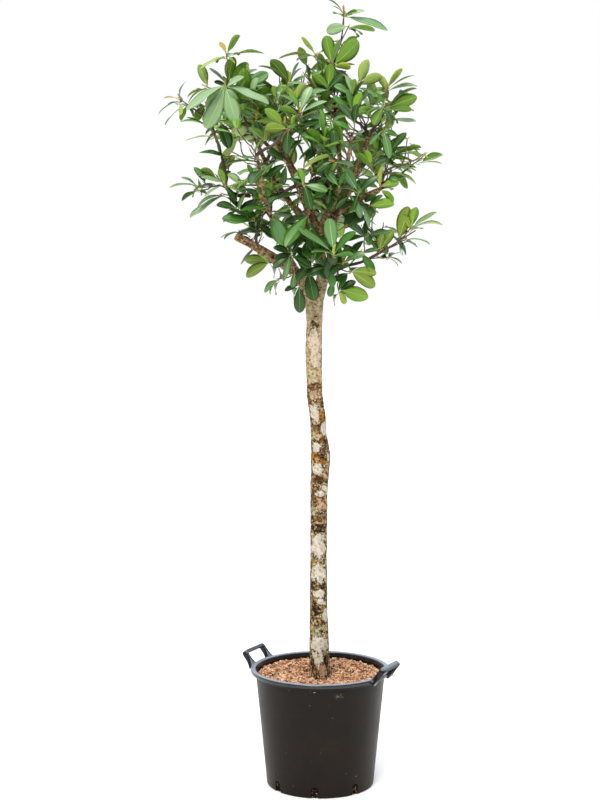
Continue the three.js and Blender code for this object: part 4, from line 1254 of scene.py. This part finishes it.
# How a shoot holds its leaves: tilt of the first and last leaf from the shoot, droop, size, how far the
# blades turn up to the sky, and the chance of each kind of leaf.
HABITS = {
    "young": ((10, 75), 0.05, 0.62, 0.4, {"fresh": 0.3, "lime": 0.35, "amber": 0.2, "green": 0.15}),
    "upright": (
        (14, 62), 0.0, 0.98, 0.4,
        {"deep": 0.3, "green": 0.35, "fresh": 0.15, "grey": 0.15, "pale": 0.05},
    ),
    "level": (
        (35, 92), 0.12, 1.0, 1.5,
        {"deep": 0.2, "green": 0.25, "fresh": 0.15, "grey": 0.2, "pale": 0.2},
    ),
    "nodding": ((45, 115), 0.5, 1.08, 0.9, {"deep": 0.35, "green": 0.3, "grey": 0.2, "pale": 0.15}),
}  # fmt: skip


def place_in(mass, shares):
    """The place at these shares of a mass's box."""
    low, high = (np.array(corner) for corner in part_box("leaves_" + mass))
    return low + (high - low) * shares


def shoots_in_masses(draw):
    """The outline's sprays and the leaders, then seeded shoot ends in every mass, spread evenly and clear."""
    ends = [(place_in(mass, shares), None, leaves) for mass, shares, leaves in FANS.values()]
    ends += [(place_in(mass, shares), unit(axis), habit) for mass, shares, axis, habit in LEADERS.values()]
    for name in MASS_NODES:
        if name in LED_MASSES:
            continue
        low, high = (np.array(corner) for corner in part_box(name))
        middle = (low + high) / 2
        half = np.maximum((high - low) / 2 - 0.5 * LEAF_LENGTH, 10 * MM)
        wanted = round(np.prod((high - low) / 2 + 12 * MM) * BALL / SHOOT_SPACING**3 * SHOOT_FILL)
        for _ in range(max(1, wanted)):
            tries = draw.normal(0, 1, (60, 3))
            tries = unit(tries) * draw.uniform(0, 1, (60, 1)) ** (1 / 3) * half + middle
            taken = np.array([end for end, _, _ in ends])
            apart = tries[:, None] - taken[None]
            gaps = np.linalg.norm(apart, axis=2).min(1)
            before = (apart[..., 1] < -20 * MM) & (np.hypot(apart[..., 0], apart[..., 2]) < FAN_CLEARANCE)
            gaps[before[:, : len(FANS)].any(1)] = 0.0
            best = int(np.argmax(gaps))
            if gaps[best] > 0.62 * SHOOT_SPACING:
                ends.append((tries[best], None, None))
    return ends


class Crown:
    """The places on limbs and twigs that a new shoot may spring from, and what each of them carries."""

    def __init__(self):
        self.places = []
        self.along = []
        self.parents = []
        self.is_twig = []
        self.to_end = []
        self.carried = []
        self.twigs = []
        self.shoots = []

    def grow(self, route, parent, is_twig):
        """Adds a limb or a twig: a chain of places, each the parent of the next."""
        along = unit(np.gradient(route, axis=0))
        left = np.append(np.cumsum(np.linalg.norm(np.diff(route, axis=0), axis=1)[::-1])[::-1], 0.0)
        chain = []
        for place, heading, rest in zip(route, along, left):
            self.places.append(place)
            self.along.append(heading)
            self.parents.append(parent)
            self.is_twig.append(is_twig)
            self.to_end.append(rest)
            self.carried.append(0)
            parent = len(self.places) - 1
            chain.append(parent)
        if is_twig:
            self.twigs.append(chain)
            while parent is not None and self.is_twig[parent]:
                self.carried[parent] += 1
                parent = self.parents[parent]
        return chain

    def best_start(self, end):
        """The place from which a shoot reaches this end with the shortest, straightest growth."""
        offset = end - np.array(self.places)
        distance = np.linalg.norm(offset, axis=1)
        forward = (offset * np.array(self.along)).sum(1) / np.maximum(distance, 1e-6)
        upward = offset[:, 2] / np.maximum(distance, 1e-6)
        cost = distance * (1 + 0.75 * (1 - forward) + 0.35 * (1 - upward))
        cost += np.where(distance < 55 * MM, 0.25, 0.0)
        cost += np.where(np.array(self.is_twig) & (np.array(self.to_end) < 55 * MM), 0.30, 0.0)
        best = int(np.argmin(cost))
        return best, cost[best]


def twig_route(start, heading, end, arriving, draw):
    """A shoot's route: away from its parent, bending round to its end, with a slight kink at each node."""
    offset = end - start
    length = np.linalg.norm(offset)
    leaving = unit(0.4 * heading + unit(offset) + 0.12 * draw.normal(0, 1, 3))
    arriving = unit(0.7 * arriving + unit(offset))
    a, b, c, d = start, start + leaving * 0.38 * length, end - arriving * 0.38 * length, end
    steps = max(3, round(length / (15 * MM)))
    t = np.linspace(0, 1, steps + 1)[:, None]
    route = (1 - t) ** 3 * a + 3 * t * (1 - t) ** 2 * b + 3 * t * t * (1 - t) * c + t**3 * d
    kinks = draw.normal(0, 1.5 * MM, route.shape) * np.minimum(1, 4 * t * (1 - t))
    return route + kinks


def grow_crown(draw):
    """Branches every shoot end on to the limbs, nearest first: later ones may spring from earlier ones."""
    crown = Crown()
    for name in BOUGHS:
        route, _ = bough_route(name, 20 * MM)
        crown.grow(route[1:], None, False)
    ends = shoots_in_masses(draw)
    ends.sort(key=lambda end: crown.best_start(end[0])[1])
    for end, axis, habit in ends:
        out = unit((end - CROWN_HEART) * [1, 1, 0.3])
        if axis is None:
            axis = unit(0.8 * UP + draw.uniform(0.2, 0.9) * out + 0.2 * draw.normal(0, 1, 3))
            habit = habit or habit_for(end, draw)
        start, _ = crown.best_start(end)
        crown.grow(twig_route(crown.places[start], crown.along[start], end, 0.8 * axis, draw), start, True)
        crown.shoots.append((end, axis, habit))
    return crown


# ------------------------------------------------------------------ crown: twigs and buds


def shoot_finishes():
    """Young fig wood: red-brown skin with a low shine, ringed by leaf scars, greener at the growing end."""
    scars = (350.0, 0.5, 0.0006, 3.0)
    return [
        grained("twig_bark", "#4a3a2c", 0.75, scars),
        grained("young_shoot", "#6b4638", 0.6, scars),
        grained("bud_sheath", "#a8733c", 0.5, scars),
        grained("bud_sheath_pale", "#a9a550", 0.5, scars),
    ]


TIP_RADIUS = 1.9 * MM


def make_twigs(crown, finishes):
    """Thin boughs and every twig as knobbly tubes, thicker the more shoots they carry, joined by bough."""
    joined = Joined()
    for name in THIN_BOUGHS:
        route, radii = bough_route(name, 14 * MM)
        points, faces = tube(route, radii * np.linspace(0.9, 0.5, len(route)), 10, round_end=True)
        joined.take(points, faces, 0)
    for chain in crown.twigs:
        start = crown.parents[chain[0]]
        route = np.array([crown.places[start]] + [crown.places[i] for i in chain[1:]])
        carried = np.array([crown.carried[i] for i in chain], float)
        rest = np.array([crown.to_end[i] for i in chain])
        radii = TIP_RADIUS * carried**0.42 * (1 + 1.1 * rest)
        radii *= 1 + 0.09 * np.where(np.arange(len(chain)) % 2 == 0, 1, -1)
        points, faces = tube(route, radii, TWIG_SIDES, round_end=True)
        rows = np.repeat(np.arange(len(chain)), TWIG_SIDES)
        which = [1 if rest[min(row, len(rest) - 1)] < 45 * MM else 0 for row in rows] + [0, 1]
        joined.take(points, faces, which)
    return joined.piece("twigs", finishes[:2])


def make_buds(crown, finishes, draw):
    """The pointed sheath round each growing tip, long and amber on some shoots."""
    joined = Joined()
    for chain in crown.twigs:
        end = np.array(crown.places[chain[-1]])
        forward = crown.along[chain[-1]]
        long = draw.uniform() < 0.08
        length = draw.uniform(22, 32) * MM if long else draw.uniform(9, 16) * MM
        width = draw.uniform(2.8, 3.8) * MM if long else 1.8 * MM
        share = np.linspace(0, 1, 7)
        lean = unit(forward + 0.15 * draw.normal(0, 1, 3))
        route = end + np.outer(share * length, lean)
        radii = width * (0.55 + 1.6 * share) * (1 - share) ** 0.8 + 0.2 * MM
        points, faces = tube(route, radii, 8)
        joined.take(points, faces, 0 if draw.uniform() < 0.6 else 1)
    return joined.piece("bud_sheaths", finishes[2:])


# ------------------------------------------------------------------ crown: leaves

# Kinds of leaf by age and light: the upper face, and the under face that goes with it. Deep is an old leaf's
# dark green deepened as painted shade, grey and pale are greens lightened by a painted sheen of the sky, and
# each under face is a leaf's paler back, yellowed and lightened further as painted light shining through the
# leaf.
LEAF_KINDS = {
    "deep": ("#264a12", "#486c17"),
    "green": ("#3f7222", "#618a20"),
    "fresh": ("#5f9330", "#729a26"),
    "grey": ("#5a8548", "#78983a"),
    "pale": ("#7fa06f", "#95ae52"),
    "lime": ("#93aa4c", "#9caf3e"),
    "amber": ("#b89740", "#c6a848"),
    "olive": ("#536c28", "#708824"),
}
KIND_NAMES = list(LEAF_KINDS)


def leather_leaf(name, colour, roughness):
    """A fig leaf's waxed skin: glossy leather with side veins that run out at a slant every 7 mm."""
    material, tree = finish(name, colour, roughness, IOR=1.45)
    spot = add(tree, "UVMap", uv_map="blade")
    along = add(tree, "SeparateXYZ", {0: spot}, out="X")
    across = add(tree, "SeparateXYZ", {0: spot}, out="Y")
    aside = add(tree, "Math", {0: across, 1: 0.5}, operation="SUBTRACT")
    aside = add(tree, "Math", {0: aside}, operation="ABSOLUTE")
    slant = add(tree, "Math", {0: aside, 1: -0.55, 2: along}, operation="MULTIPLY_ADD")
    wave = add(tree, "Math", {0: slant, 1: 2 * math.pi * SIDE_VEINS}, operation="MULTIPLY")
    wave = add(tree, "Math", {0: wave}, operation="SINE")
    veins = add(tree, "MapRange", {0: wave, 1: 0.5, 2: 1.0})
    place = add(tree, "TexCoord", out="Object")
    skin = add(tree, "TexNoise", {"Vector": place, "Scale": 120.0, "Detail": 2.0})
    height = add(tree, "Math", {0: veins, 1: 0.3, 2: skin}, operation="MULTIPLY_ADD")
    bump = add(tree, "Bump", {"Height": height, "Strength": 0.06, "Distance": 0.0004})
    return dressed(material, Normal=bump)


def leaf_finishes():
    """Upper and under faces of every kind, then the ribs and the stalk."""
    finishes = []
    for kind, (upper, under) in LEAF_KINDS.items():
        finishes.append(leather_leaf("leaf_" + kind, upper, 0.34))
        finishes.append(leather_leaf("leaf_" + kind + "_under", under, 0.55))
    finishes.append(leather_leaf("leaf_rib_dark", "#5f8a4c", 0.45))
    finishes.append(leather_leaf("leaf_rib_pale", "#a8c495", 0.45))
    finishes.append(leather_leaf("leaf_rib_under", "#9fb755", 0.5))
    finishes.append(leather_leaf("leaf_stalk", "#8a9a54", 0.5))
    return finishes


BLADE_ROWS = (1 - np.cos(np.pi * np.linspace(0, 1, 12) ** 0.9)) / 2
RIB = 2 * len(LEAF_KINDS)
RIB_UNDER, STALK = RIB + 2, RIB + 3


def blade_template():
    """The faces of one leaf and which part of it each belongs to: upper, under, rib, under rib or stalk."""
    rows = len(BLADE_ROWS)
    top = np.arange(rows * 6).reshape(rows, 6)
    low = np.hstack([top[:, :1], rows * 6 + np.arange(rows * 4).reshape(rows, 4), top[:, 5:]])
    stalk = rows * 10 + np.arange(12).reshape(3, 4)
    faces = []
    parts = []
    for row in range(rows - 1):
        for col in range(5):
            faces.append([top[row, col], top[row, col + 1], top[row + 1, col + 1], top[row + 1, col]])
            parts.append(2 if col == 2 else 0)
            faces.append([low[row, col], low[row + 1, col], low[row + 1, col + 1], low[row, col + 1]])
            parts.append(3 if col == 2 else 1)
    for row in (0, -1):
        for col in range(1, 4):
            face = [top[row, col], low[row, col], low[row, col + 1], top[row, col + 1]]
            faces.append(face if row == 0 else face[::-1])
            parts.append(3)
        faces.append([top[row, 0], low[row, 1], top[row, 1]][:: 1 if row == 0 else -1])
        faces.append([top[row, 5], top[row, 4], low[row, 4]][:: 1 if row == 0 else -1])
        parts.extend([3, 3])
    for row in range(2):
        for i in range(4):
            j = (i + 1) % 4
            faces.append([stalk[row, i], stalk[row, j], stalk[row + 1, j], stalk[row + 1, i]])
            parts.append(4)
    faces.append(list(stalk[0][::-1]))
    parts.append(4)
    return [[int(corner) for corner in face] for face in faces], parts


BLADE_FACES, BLADE_PARTS = blade_template()


def blade_width(share, wideness, point):
    """Half the blade's width over its length: widest past the middle, with a blunt or pointed end."""
    shape = share**0.9 * (1 - share) ** point
    return wideness / 2 * np.maximum(shape / shape.max(), 0.012)


def leaf_points(leaf):
    """One leaf's points in the order of the template, with their places along and across the blade."""
    share = BLADE_ROWS
    length, bend, fold = leaf["length"], leaf["bend"], leaf["fold"]
    angle = bend * share
    curved = abs(bend) > 1e-3
    forward = length * (np.sin(angle) / bend if curved else share)
    drop = length * ((1 - np.cos(angle)) / bend if curved else 0 * share)
    heading, side, normal = leaf["frame"]
    spine = leaf["base"] + np.outer(forward, heading) - np.outer(drop, normal)
    up = np.outer(np.sin(angle), heading) + np.outer(np.cos(angle), normal)
    half = length * blade_width(share, leaf["wideness"], leaf["point"])
    rib = np.minimum(1.1 * MM * (1 - 0.7 * share), 0.5 * half)
    places = np.stack([-half, -0.55 * half, -rib, rib, 0.55 * half, half], 1)
    ripple = leaf["ripple"] * half * np.sin(7 * share + leaf["phase"])
    lift = np.abs(places) * math.sin(fold) + (places / np.maximum(half, 1e-6)[:, None]) ** 2 * ripple[:, None]
    across = places * math.cos(fold) + leaf["sweep"] * (length * share**2)[:, None]
    top = spine[:, None] + across[..., None] * side + lift[..., None] * up[:, None]
    sink = np.array([0.5, 1.3, 1.3, 0.5]) * MM
    under = top[:, 1:5] - sink[None, :, None] * up[:, None]
    top = top - np.array([0, 0, 0.35, 0.35, 0, 0])[None, :, None] * MM * up[:, None]
    stalk = []
    turns = np.arange(4) * math.pi / 2 + math.pi / 4
    ring = 1.25 * MM * (np.outer(np.cos(turns), side) + np.outer(np.sin(turns), normal))
    joint = leaf["base"] + 1 * MM * heading - 0.6 * MM * normal
    for t in (0.0, 0.55, 1.0):
        sag = 0.10 * math.sin(math.pi * t) * leaf["stalk"] * normal
        stalk.append(leaf["root"] * (1 - t) + joint * t - sag + ring)
    points = np.concatenate([top.reshape(-1, 3), under.reshape(-1, 3), np.concatenate(stalk)])
    across_map = 0.5 + 0.5 * places / np.maximum(half, 1e-6)[:, None]
    along_map = np.repeat(share[:, None], 6, 1)
    upper_map = np.stack([along_map, across_map], 2)
    under_map = upper_map[:, 1:5]
    blade_map = np.concatenate([upper_map.reshape(-1, 2), under_map.reshape(-1, 2), np.zeros((12, 2))])
    return points, blade_map


def habit_for(end, draw):
    """High shoots stand up, those at the sides hold their leaves level and low ones hang."""
    high = float(smooth_share(end[2], 1.8, 2.3))
    side = min(1.0, abs(end[0]) / 0.35)
    chances = np.array([0.12 * high, 0.15 + 0.35 * high, 0.25 + 0.4 * side, 0.45 * (1 - high)])
    return list(HABITS)[int(draw.choice(4, p=chances / chances.sum()))]


def kind_for(habit, end, draw):
    """The habit's own mix: old dark leaves low and inside as painted shade, paler ones high and out as
    painted light.
    """
    outward = float(np.linalg.norm((end - CROWN_HEART) * [1, 1, 0.85]))
    # How far up and out in the light the shoot stands: it deals deep leaves as painted shade low and inside,
    # and grey and pale ones as painted sky sheen high and out.
    light = float(smooth_share(end[2], 1.85, 2.3)) * float(smooth_share(outward, 0.1, 0.32))
    chances = dict(HABITS[habit][4])
    changes = {"deep": 1.3 - 0.9 * light, "grey": 0.6 + 0.8 * light, "pale": 0.12 + 2.1 * light}
    for kind, more in changes.items():
        chances[kind] = chances.get(kind, 0.0) * more
    shares = np.array([chances.get(kind, 0.0) for kind in KIND_NAMES])
    return int(draw.choice(len(KIND_NAMES), p=shares / shares.sum()))


def shell_of(node):
    """A mass's surface, for measuring how far a point lies from it."""
    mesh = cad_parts[node].data
    return BVHTree.FromPolygons([v.co for v in mesh.vertices], [p.vertices for p in mesh.polygons])


SHELLS = [shell_of(node) for node in MASS_NODES]


def within_masses(place, allowance):
    """Whether a place lies in one of the masses, or no further outside it than the allowance."""
    place = Vector(place)
    for shell in SHELLS:
        nearest, outward, _, distance = shell.find_nearest(place)
        if distance < allowance or (place - nearest).dot(outward) < 0:
            return True
    return False


def seen_at(place):
    """Where the line from the viewer through a place meets the upright plane that the stem stands in."""
    eye = np.array(EYE)
    return eye + (place - eye) * (-eye[1] / (place[1] - eye[1]))


def shown_limbs():
    """The places along the limbs that the crown leaves in sight: where each is seen, and its thickness."""
    routes = [bough_route(name, 12 * MM) for name in SHOWN_BOUGHS]
    places = np.concatenate([route for route, _ in routes])
    radii = np.concatenate([radii for _, radii in routes])
    return places, np.array([seen_at(place) for place in places]), radii


LIMB_PLACES, LIMBS_SEEN_AT, LIMB_RADII = shown_limbs()


def hides_limb(place):
    """Whether a place stands between the viewer and one of the limbs that stay in sight."""
    apart = LIMBS_SEEN_AT - seen_at(place)
    near = np.hypot(apart[:, 0], apart[:, 2]) < LIMB_RADII + 4 * MM
    return bool((near & (LIMB_PLACES[:, 1] > place[1])).any())


def in_opening(place):
    """Whether a place stands between the viewer and one of the crown's openings."""
    spot = seen_at(place)
    for across, up, wide, tall in OPENINGS:
        middle = CROWN_LOW + (CROWN_HIGH - CROWN_LOW) * (across, 0, up)
        if math.hypot((spot[0] - middle[0]) / wide, (spot[2] - middle[2]) / tall) < MM:
            return True
    return False


def fits_crown(leaf, allowance):
    """Whether a leaf stays in the crown's outline and, unless it may cross them, out of its openings."""
    heading, side, _ = leaf["frame"]
    half = 0.45 * leaf["wideness"] * leaf["length"]
    spots = [leaf["base"] + heading * leaf["length"] * share for share in (0.35, 0.7, 1.0)]
    spots += [spots[1] + side * half, spots[1] - side * half]
    if not leaf["free"] and any(in_opening(spot) or hides_limb(spot) for spot in spots):
        return False
    return within_masses(spots[1], 0.6 * allowance) and within_masses(spots[2], allowance)


def spray(end, axis, habit, count, draw):
    """The leaves round one shoot end: small and upright at the tip, broad and spreading below it."""
    (first_tilt, last_tilt), droop, size, skyward, _ = HABITS[habit]
    side = unit(np.cross(axis, [0.3, 0.9, 0.1]))
    other = np.cross(axis, side)
    kind = kind_for(habit, end, draw)
    phase = draw.uniform(0, 360)
    vigour = size * draw.uniform(0.87, 1.15)
    leaves = []
    for i in range(count):
        turn = math.radians(phase + LEAF_TO_LEAF * i + draw.normal(0, 8))
        opened = first_tilt + (last_tilt - first_tilt) * (i / (count - 1)) ** 0.8
        tilt = math.radians(opened + draw.normal(0, 7))
        aside = math.cos(turn) * side + math.sin(turn) * other
        heading = unit(math.cos(tilt) * axis + math.sin(tilt) * aside)
        heading = unit(heading - UP * droop * (0.3 + 0.7 * i / count))
        toward_axis = unit(axis - heading * np.dot(axis, heading))
        toward_sky = UP - heading * np.dot(UP, heading)
        normal = unit(0.75 * toward_axis + skyward * toward_sky + 0.2 * draw.normal(0, 1, 3))
        normal = unit(normal - heading * np.dot(normal, heading))
        grown = 0.55 if i == 0 else 0.8 if i == 1 else 1.0
        length = LEAF_LENGTH * vigour * draw.uniform(0.82, 1.18) * grown
        stalk = length * draw.uniform(0.10, 0.18)
        root = end - axis * (3 * MM + 45 * MM * size * (i / count) ** 1.2)
        own = kind_for(habit, end, draw) if draw.uniform() < 0.4 else kind
        leaves.append(
            {
                "kind": own,
                "root": root,
                "base": root + heading * stalk,
                "stalk": stalk,
                "frame": (heading, unit(np.cross(normal, heading)), normal),
                "length": length,
                "wideness": draw.uniform(0.42, 0.53),
                "free": False,
                "point": draw.uniform(0.50, 0.76),
                "bend": math.radians(draw.uniform(-8, 38)),
                "fold": math.radians(draw.uniform(6, 20)),
                "ripple": draw.uniform(0.0, 0.14),
                "phase": draw.uniform(0, 6.28),
                "sweep": draw.normal(0, 0.05),
            }
        )
    return leaves


def fan(end, leaves, draw):
    """The leaves of a spray in the outline, spread like a hand to the front, and two more behind them."""
    made = []
    behind = [(hour, draw.uniform(55, 80), "green", 0.3) for hour in draw.uniform(0, 12, 2)]
    for i, (hour, reach, kind, turn) in enumerate(leaves + behind):
        angle = math.radians(30 * hour)
        back = draw.normal(0, 0.12) if i < len(leaves) else 1.5
        heading = unit([math.sin(angle), back, math.cos(angle)])
        front = unit(np.array([0, -1, 0]) + heading * heading[1])
        upward = np.cross(front, heading)
        upward = unit(upward if upward[2] > 0 else -upward)
        normal = turn * front + math.sqrt(1 - turn**2) * upward
        bend = math.radians(draw.uniform(5, 30) if abs(turn) > 0.3 else draw.uniform(25, 55))
        chord = heading
        heading = math.cos(bend / 2) * chord + math.sin(bend / 2) * normal
        normal = math.cos(bend / 2) * normal - math.sin(bend / 2) * chord
        length = reach * MM / (1 + STALK_SHARE)
        shorter = 0.06 if reach < 75 else 0.0
        turned_over = 0.07 if turn < -0.4 else 0.0
        root = end - 2.5 * MM * i * UP
        made.append(
            {
                "kind": KIND_NAMES.index(kind),
                "root": root,
                "base": root + heading * STALK_SHARE * length,
                "stalk": STALK_SHARE * length,
                "frame": (heading, unit(np.cross(normal, heading)), normal),
                "length": length,
                "wideness": draw.uniform(0.40, 0.50) + shorter + turned_over,
                "free": i < len(leaves),
                "point": draw.uniform(0.50, 0.76),
                "bend": bend,
                "fold": math.radians(draw.uniform(6, 18)),
                "ripple": draw.uniform(0.0, 0.12),
                "phase": draw.uniform(0, 6.28),
                "sweep": draw.normal(0, 0.05),
            }
        )
    return made


TIERS = {"low": 1.86, "middle": 2.09, "high": 9.0}


def make_leaves(crown, finishes, draw):
    """Every spray's leaves, joined by tier of the crown."""
    tiers = {name: Joined() for name in TIERS}
    leading = {tuple(place_in(mass, shares)) for mass, shares, *_ in LEADERS.values()}
    for end, axis, habit in crown.shoots:
        tier = next(name for name, top in TIERS.items() if end[2] < top)
        outline = isinstance(habit, list)
        allowance = LEADER_ALLOWANCE if outline or tuple(end) in leading else OUTLINE_ALLOWANCE
        if outline:
            leaves = fan(end, habit, draw)
        else:
            count = int(draw.integers(3, 6)) if habit == "young" else int(draw.integers(5, 9))
            leaves = spray(end, axis, habit, count, draw)
        for leaf in leaves:
            if not fits_crown(leaf, allowance):
                leaf["length"] *= TRIMMED
                if not fits_crown(leaf, allowance):
                    continue
            points, blade_map = leaf_points(leaf)
            own = [2 * leaf["kind"], 2 * leaf["kind"] + 1, RIB + (leaf["kind"] > 2), RIB_UNDER, STALK]
            tiers[tier].take(points, BLADE_FACES, [own[part] for part in BLADE_PARTS], blade_map)
    return {name: tier.piece("leaves_" + name + "_crown", finishes) for name, tier in tiers.items()}


# ------------------------------------------------------------------ assembly

set_camera()
set_light()
lay_floor()

# The lip's shades are its black plastic lifted towards blue-grey: a painted reflection of the sky.
lip_finish = handled_polypropylene("lip_polypropylene", ("#0f1216", "#1b2026", "#2d3137"), 0.5, 0.62)
handle_finish = handled_polypropylene("handle_polypropylene", ("#08090b", "#0d0f12", "#1a1c1f"), 0.3, 0.62)
pot = make_pot(moulded_polypropylene(), lip_finish)
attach(pot, "root")
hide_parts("pot")
for handle_name, handle_turn in HANDLES.items():
    handle = make_handle(handle_name, handle_turn, handle_finish)
    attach(handle, "root")
    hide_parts(handle_name)

mix = make_soil(packed_mix(), shade_darkened_peat())
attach(mix, "root")
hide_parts("soil")
for loose in (make_chips(potting_finishes()), make_roots(root_finishes())):
    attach(loose, "root")

wood = make_wood(lichened_bark())
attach(wood, "root")
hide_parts("trunk", *[name for name in BOUGHS if name not in THIN_BOUGHS])

growth = np.random.default_rng(5)
crown = grow_crown(growth)
wood_finishes = shoot_finishes()
twigs = make_twigs(crown, wood_finishes)
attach(twigs, "root")
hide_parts(*THIN_BOUGHS)
buds = make_buds(crown, wood_finishes, growth)
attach(buds, "root")

leaf_pieces = make_leaves(crown, leaf_finishes(), growth)
for piece in leaf_pieces.values():
    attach(piece, "root")
for node in MASS_NODES:
    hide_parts(node)
